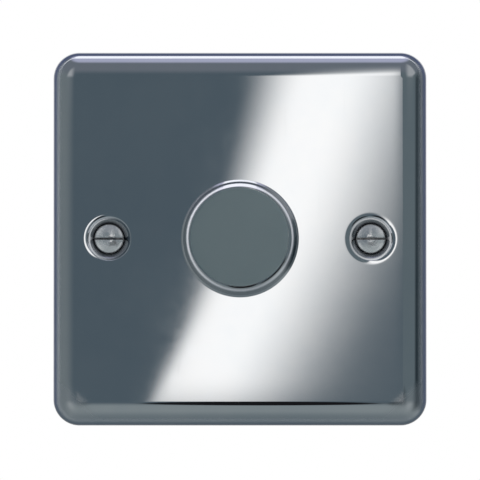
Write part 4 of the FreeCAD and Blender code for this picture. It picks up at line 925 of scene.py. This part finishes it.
def makeTent():
    deselectAll()
    radius = studioTent["radius"]
    bpy.ops.mesh.primitive_uv_sphere_add(segments=studioTent["segments"], ring_count=studioTent["rings"],
                                         radius=radius)
    tent = bpy.context.object
    tent.name = "studio_tent"
    tent.rotation_euler.x = math.radians(studioTent["tilt"])
    material = bpy.data.materials.new("tent_cards")
    material.use_nodes = True
    tree = material.node_tree
    tree.nodes.clear()
    px, py, pz = axis(tree, objectAxes(tree))
    x, y, z = (calc(tree, "DIVIDE", part, radius) for part in (px, py, pz))

    colour = studioTent["slate"]
    for card, strength, fades in sideCards:
        mask = strength
        for along, start, full in fades:
            mask = times(tree, mask, spread(tree, {"x": x, "z": z}[along], start, full))
        colour = mixColour(tree, mask, colour, card)

    # soft cards toward the four corners, which show on the face only from the side
    corner = times(tree, spread(tree, calc(tree, "ABSOLUTE", x), *cornerCards["across"]),
                   spread(tree, calc(tree, "ABSOLUTE", z), *cornerCards["up"]))
    begin = spread(tree, calc(tree, "MINIMUM", x, z), *cornerCards["highRight"],
                   cornerCards["begin"], cornerCards["beginHighRight"])
    corner = times(tree, corner, spread(tree, y, begin, calc(tree, "SUBTRACT", begin, cornerCards["fade"])))
    card = mixColour(tree, spread(tree, z, *cornerCards["mix"]), cornerCards["low"], cornerCards["high"])
    colour = mixColour(tree, corner, colour, card)

    # the wide leaning window of light in front
    colour = mixColour(tree, windowMask(tree, px, pz, y, z), colour, frontWindow["colour"])

    # black flags below the window and to its right, and a dark one far round to the right
    for middleX, middleZ, halfX, halfZ in blackFlags["ovals"]:
        across = calc(tree, "DIVIDE", calc(tree, "SUBTRACT", px, middleX), halfX)
        up = calc(tree, "DIVIDE", calc(tree, "SUBTRACT", pz, middleZ), halfZ)
        far = calc(tree, "ADD", times(tree, across, across), times(tree, up, up))
        flag = times(tree, spread(tree, far, *blackFlags["edge"]), spread(tree, y, *blackFlags["front"]))
        colour = mixColour(tree, flag, colour, blackFlags["colour"])
    toward = calc(tree, "SUBTRACT", times(tree, x, sideFlag["right"]), times(tree, z, sideFlag["down"]))
    flag = times(tree, spread(tree, toward, *sideFlag["edge"]),
                 spread(tree, offFrom(tree, y, sideFlag["middle"]), *sideFlag["half"]))
    colour = mixColour(tree, flag, colour, sideFlag["colour"])

    # darker blue behind the wall plane, with soft boxes at the far back
    behind = mixColour(tree, spread(tree, z, *rearCards["mix"]), rearCards["low"], rearCards["high"])
    colour = mixColour(tree, spread(tree, y, *rearCards["edge"]), colour, behind)
    boxes = mixColour(tree, spread(tree, z, *rearCards["boxMix"]), (0.0, 0.0, 0.0, 1), rearCards["boxes"])
    colour = mixColour(tree, spread(tree, y, *rearCards["boxEdge"]), colour, boxes)
    colour = mixColour(tree, ringMask(tree, py, x, z), colour, ringLight["colour"])

    glow = tree.nodes.new("ShaderNodeEmission")
    tree.links.new(colour, glow.inputs["Color"])
    out = tree.nodes.new("ShaderNodeOutputMaterial")
    tree.links.new(glow.outputs[0], out.inputs["Surface"])
    tent.data.materials.append(material)
    for ray in ("camera", "diffuse", "transmission", "volume_scatter", "shadow"):
        setattr(tent, "visible_" + ray, False)


# paper that fades to white away from the object, and is clear from below
def makeFloor():
    deselectAll()
    bpy.ops.mesh.primitive_circle_add(vertices=paleFloor["sides"], radius=paleFloor["radius"], fill_type="NGON",
                                      location=(0, 0, paleFloor["height"]))
    floor = bpy.context.object
    floor.name = "studio_floor"
    material = bpy.data.materials.new("pale_floor")
    material.use_nodes = True
    tree = material.node_tree
    shader = tree.nodes["Principled BSDF"]
    paper = noise(tree, objectAxes(tree), paleFloor["paperScale"], 3.0)
    tree.links.new(mixColour(tree, paper, paleFloor["dark"], paleFloor["light"]), shader.inputs["Base Color"])
    shader.inputs["Roughness"].default_value = paleFloor["rough"]
    part = axis(tree, objectAxes(tree))
    reach = fromAxis(tree, part[0], part[1])
    path = tree.nodes.new("ShaderNodeLightPath")
    fade = times(tree, spread(tree, reach, *paleFloor["fade"]), path.outputs["Is Camera Ray"])
    white = tree.nodes.new("ShaderNodeEmission")
    mixed = tree.nodes.new("ShaderNodeMixShader")
    tree.links.new(fade, mixed.inputs[0])
    tree.links.new(shader.outputs[0], mixed.inputs[1])
    tree.links.new(white.outputs[0], mixed.inputs[2])
    clear = tree.nodes.new("ShaderNodeBsdfTransparent")
    side = tree.nodes.new("ShaderNodeNewGeometry")
    shown = tree.nodes.new("ShaderNodeMixShader")
    tree.links.new(side.outputs["Backfacing"], shown.inputs[0])
    tree.links.new(mixed.outputs[0], shown.inputs[1])
    tree.links.new(clear.outputs[0], shown.inputs[2])
    tree.links.new(shown.outputs[0], tree.nodes["Material Output"].inputs["Surface"])
    floor.data.materials.append(material)
    floor.visible_glossy = False


# white where it is seen, and lower as a light
def makeWorld():
    world = bpy.data.worlds.new("studio_world")
    bpy.context.scene.world = world
    world.use_nodes = True
    tree = world.node_tree
    path = tree.nodes.new("ShaderNodeLightPath")
    seen = calc(tree, "MAXIMUM", path.outputs["Is Camera Ray"], path.outputs["Is Glossy Ray"])
    seen = calc(tree, "MAXIMUM", seen, path.outputs["Is Transmission Ray"])
    background = tree.nodes["Background"]
    background.inputs["Color"].default_value = (1, 1, 1, 1)
    strength = calc(tree, "ADD", worldLight, times(tree, seen, 1 - worldLight))
    tree.links.new(strength, background.inputs["Strength"])


def addLamp(name, spot, watts):
    lamp = bpy.data.lights.new(name, "AREA")
    lamp.energy = watts
    lamp.size = lampSize
    holder = bpy.data.objects.new(name, lamp)
    holder.location = spot
    holder.rotation_euler = (-Vector(spot)).to_track_quat("-Z", "Y").to_euler()
    holder.visible_glossy = False
    bpy.context.scene.collection.objects.link(holder)


def addCamera():
    data = bpy.data.cameras.new("photo_camera")
    data.sensor_width = photoCamera["sensor"]
    data.lens = photoCamera["sensor"] * photoCamera["distance"] / photoCamera["frameWidth"]
    data.clip_start = photoCamera["clipStart"]
    camera = bpy.data.objects.new("photo_camera", data)
    tilt = math.radians(photoCamera["elevation"])
    aim = Vector((0, 0, photoCamera["aimHeight"]))
    camera.location = aim + Vector((0, -math.cos(tilt), math.sin(tilt))) * photoCamera["distance"]
    camera.rotation_euler = (aim - camera.location).to_track_quat("-Z", "Y").to_euler()
    bpy.context.scene.collection.objects.link(camera)
    bpy.context.scene.camera = camera


makeTent()
makeFloor()
makeWorld()
for lampName, (spot, watts) in lamps.items():
    addLamp(lampName, spot, watts)
addCamera()
bpy.context.scene.view_settings.view_transform = "Standard"
print("studio made")
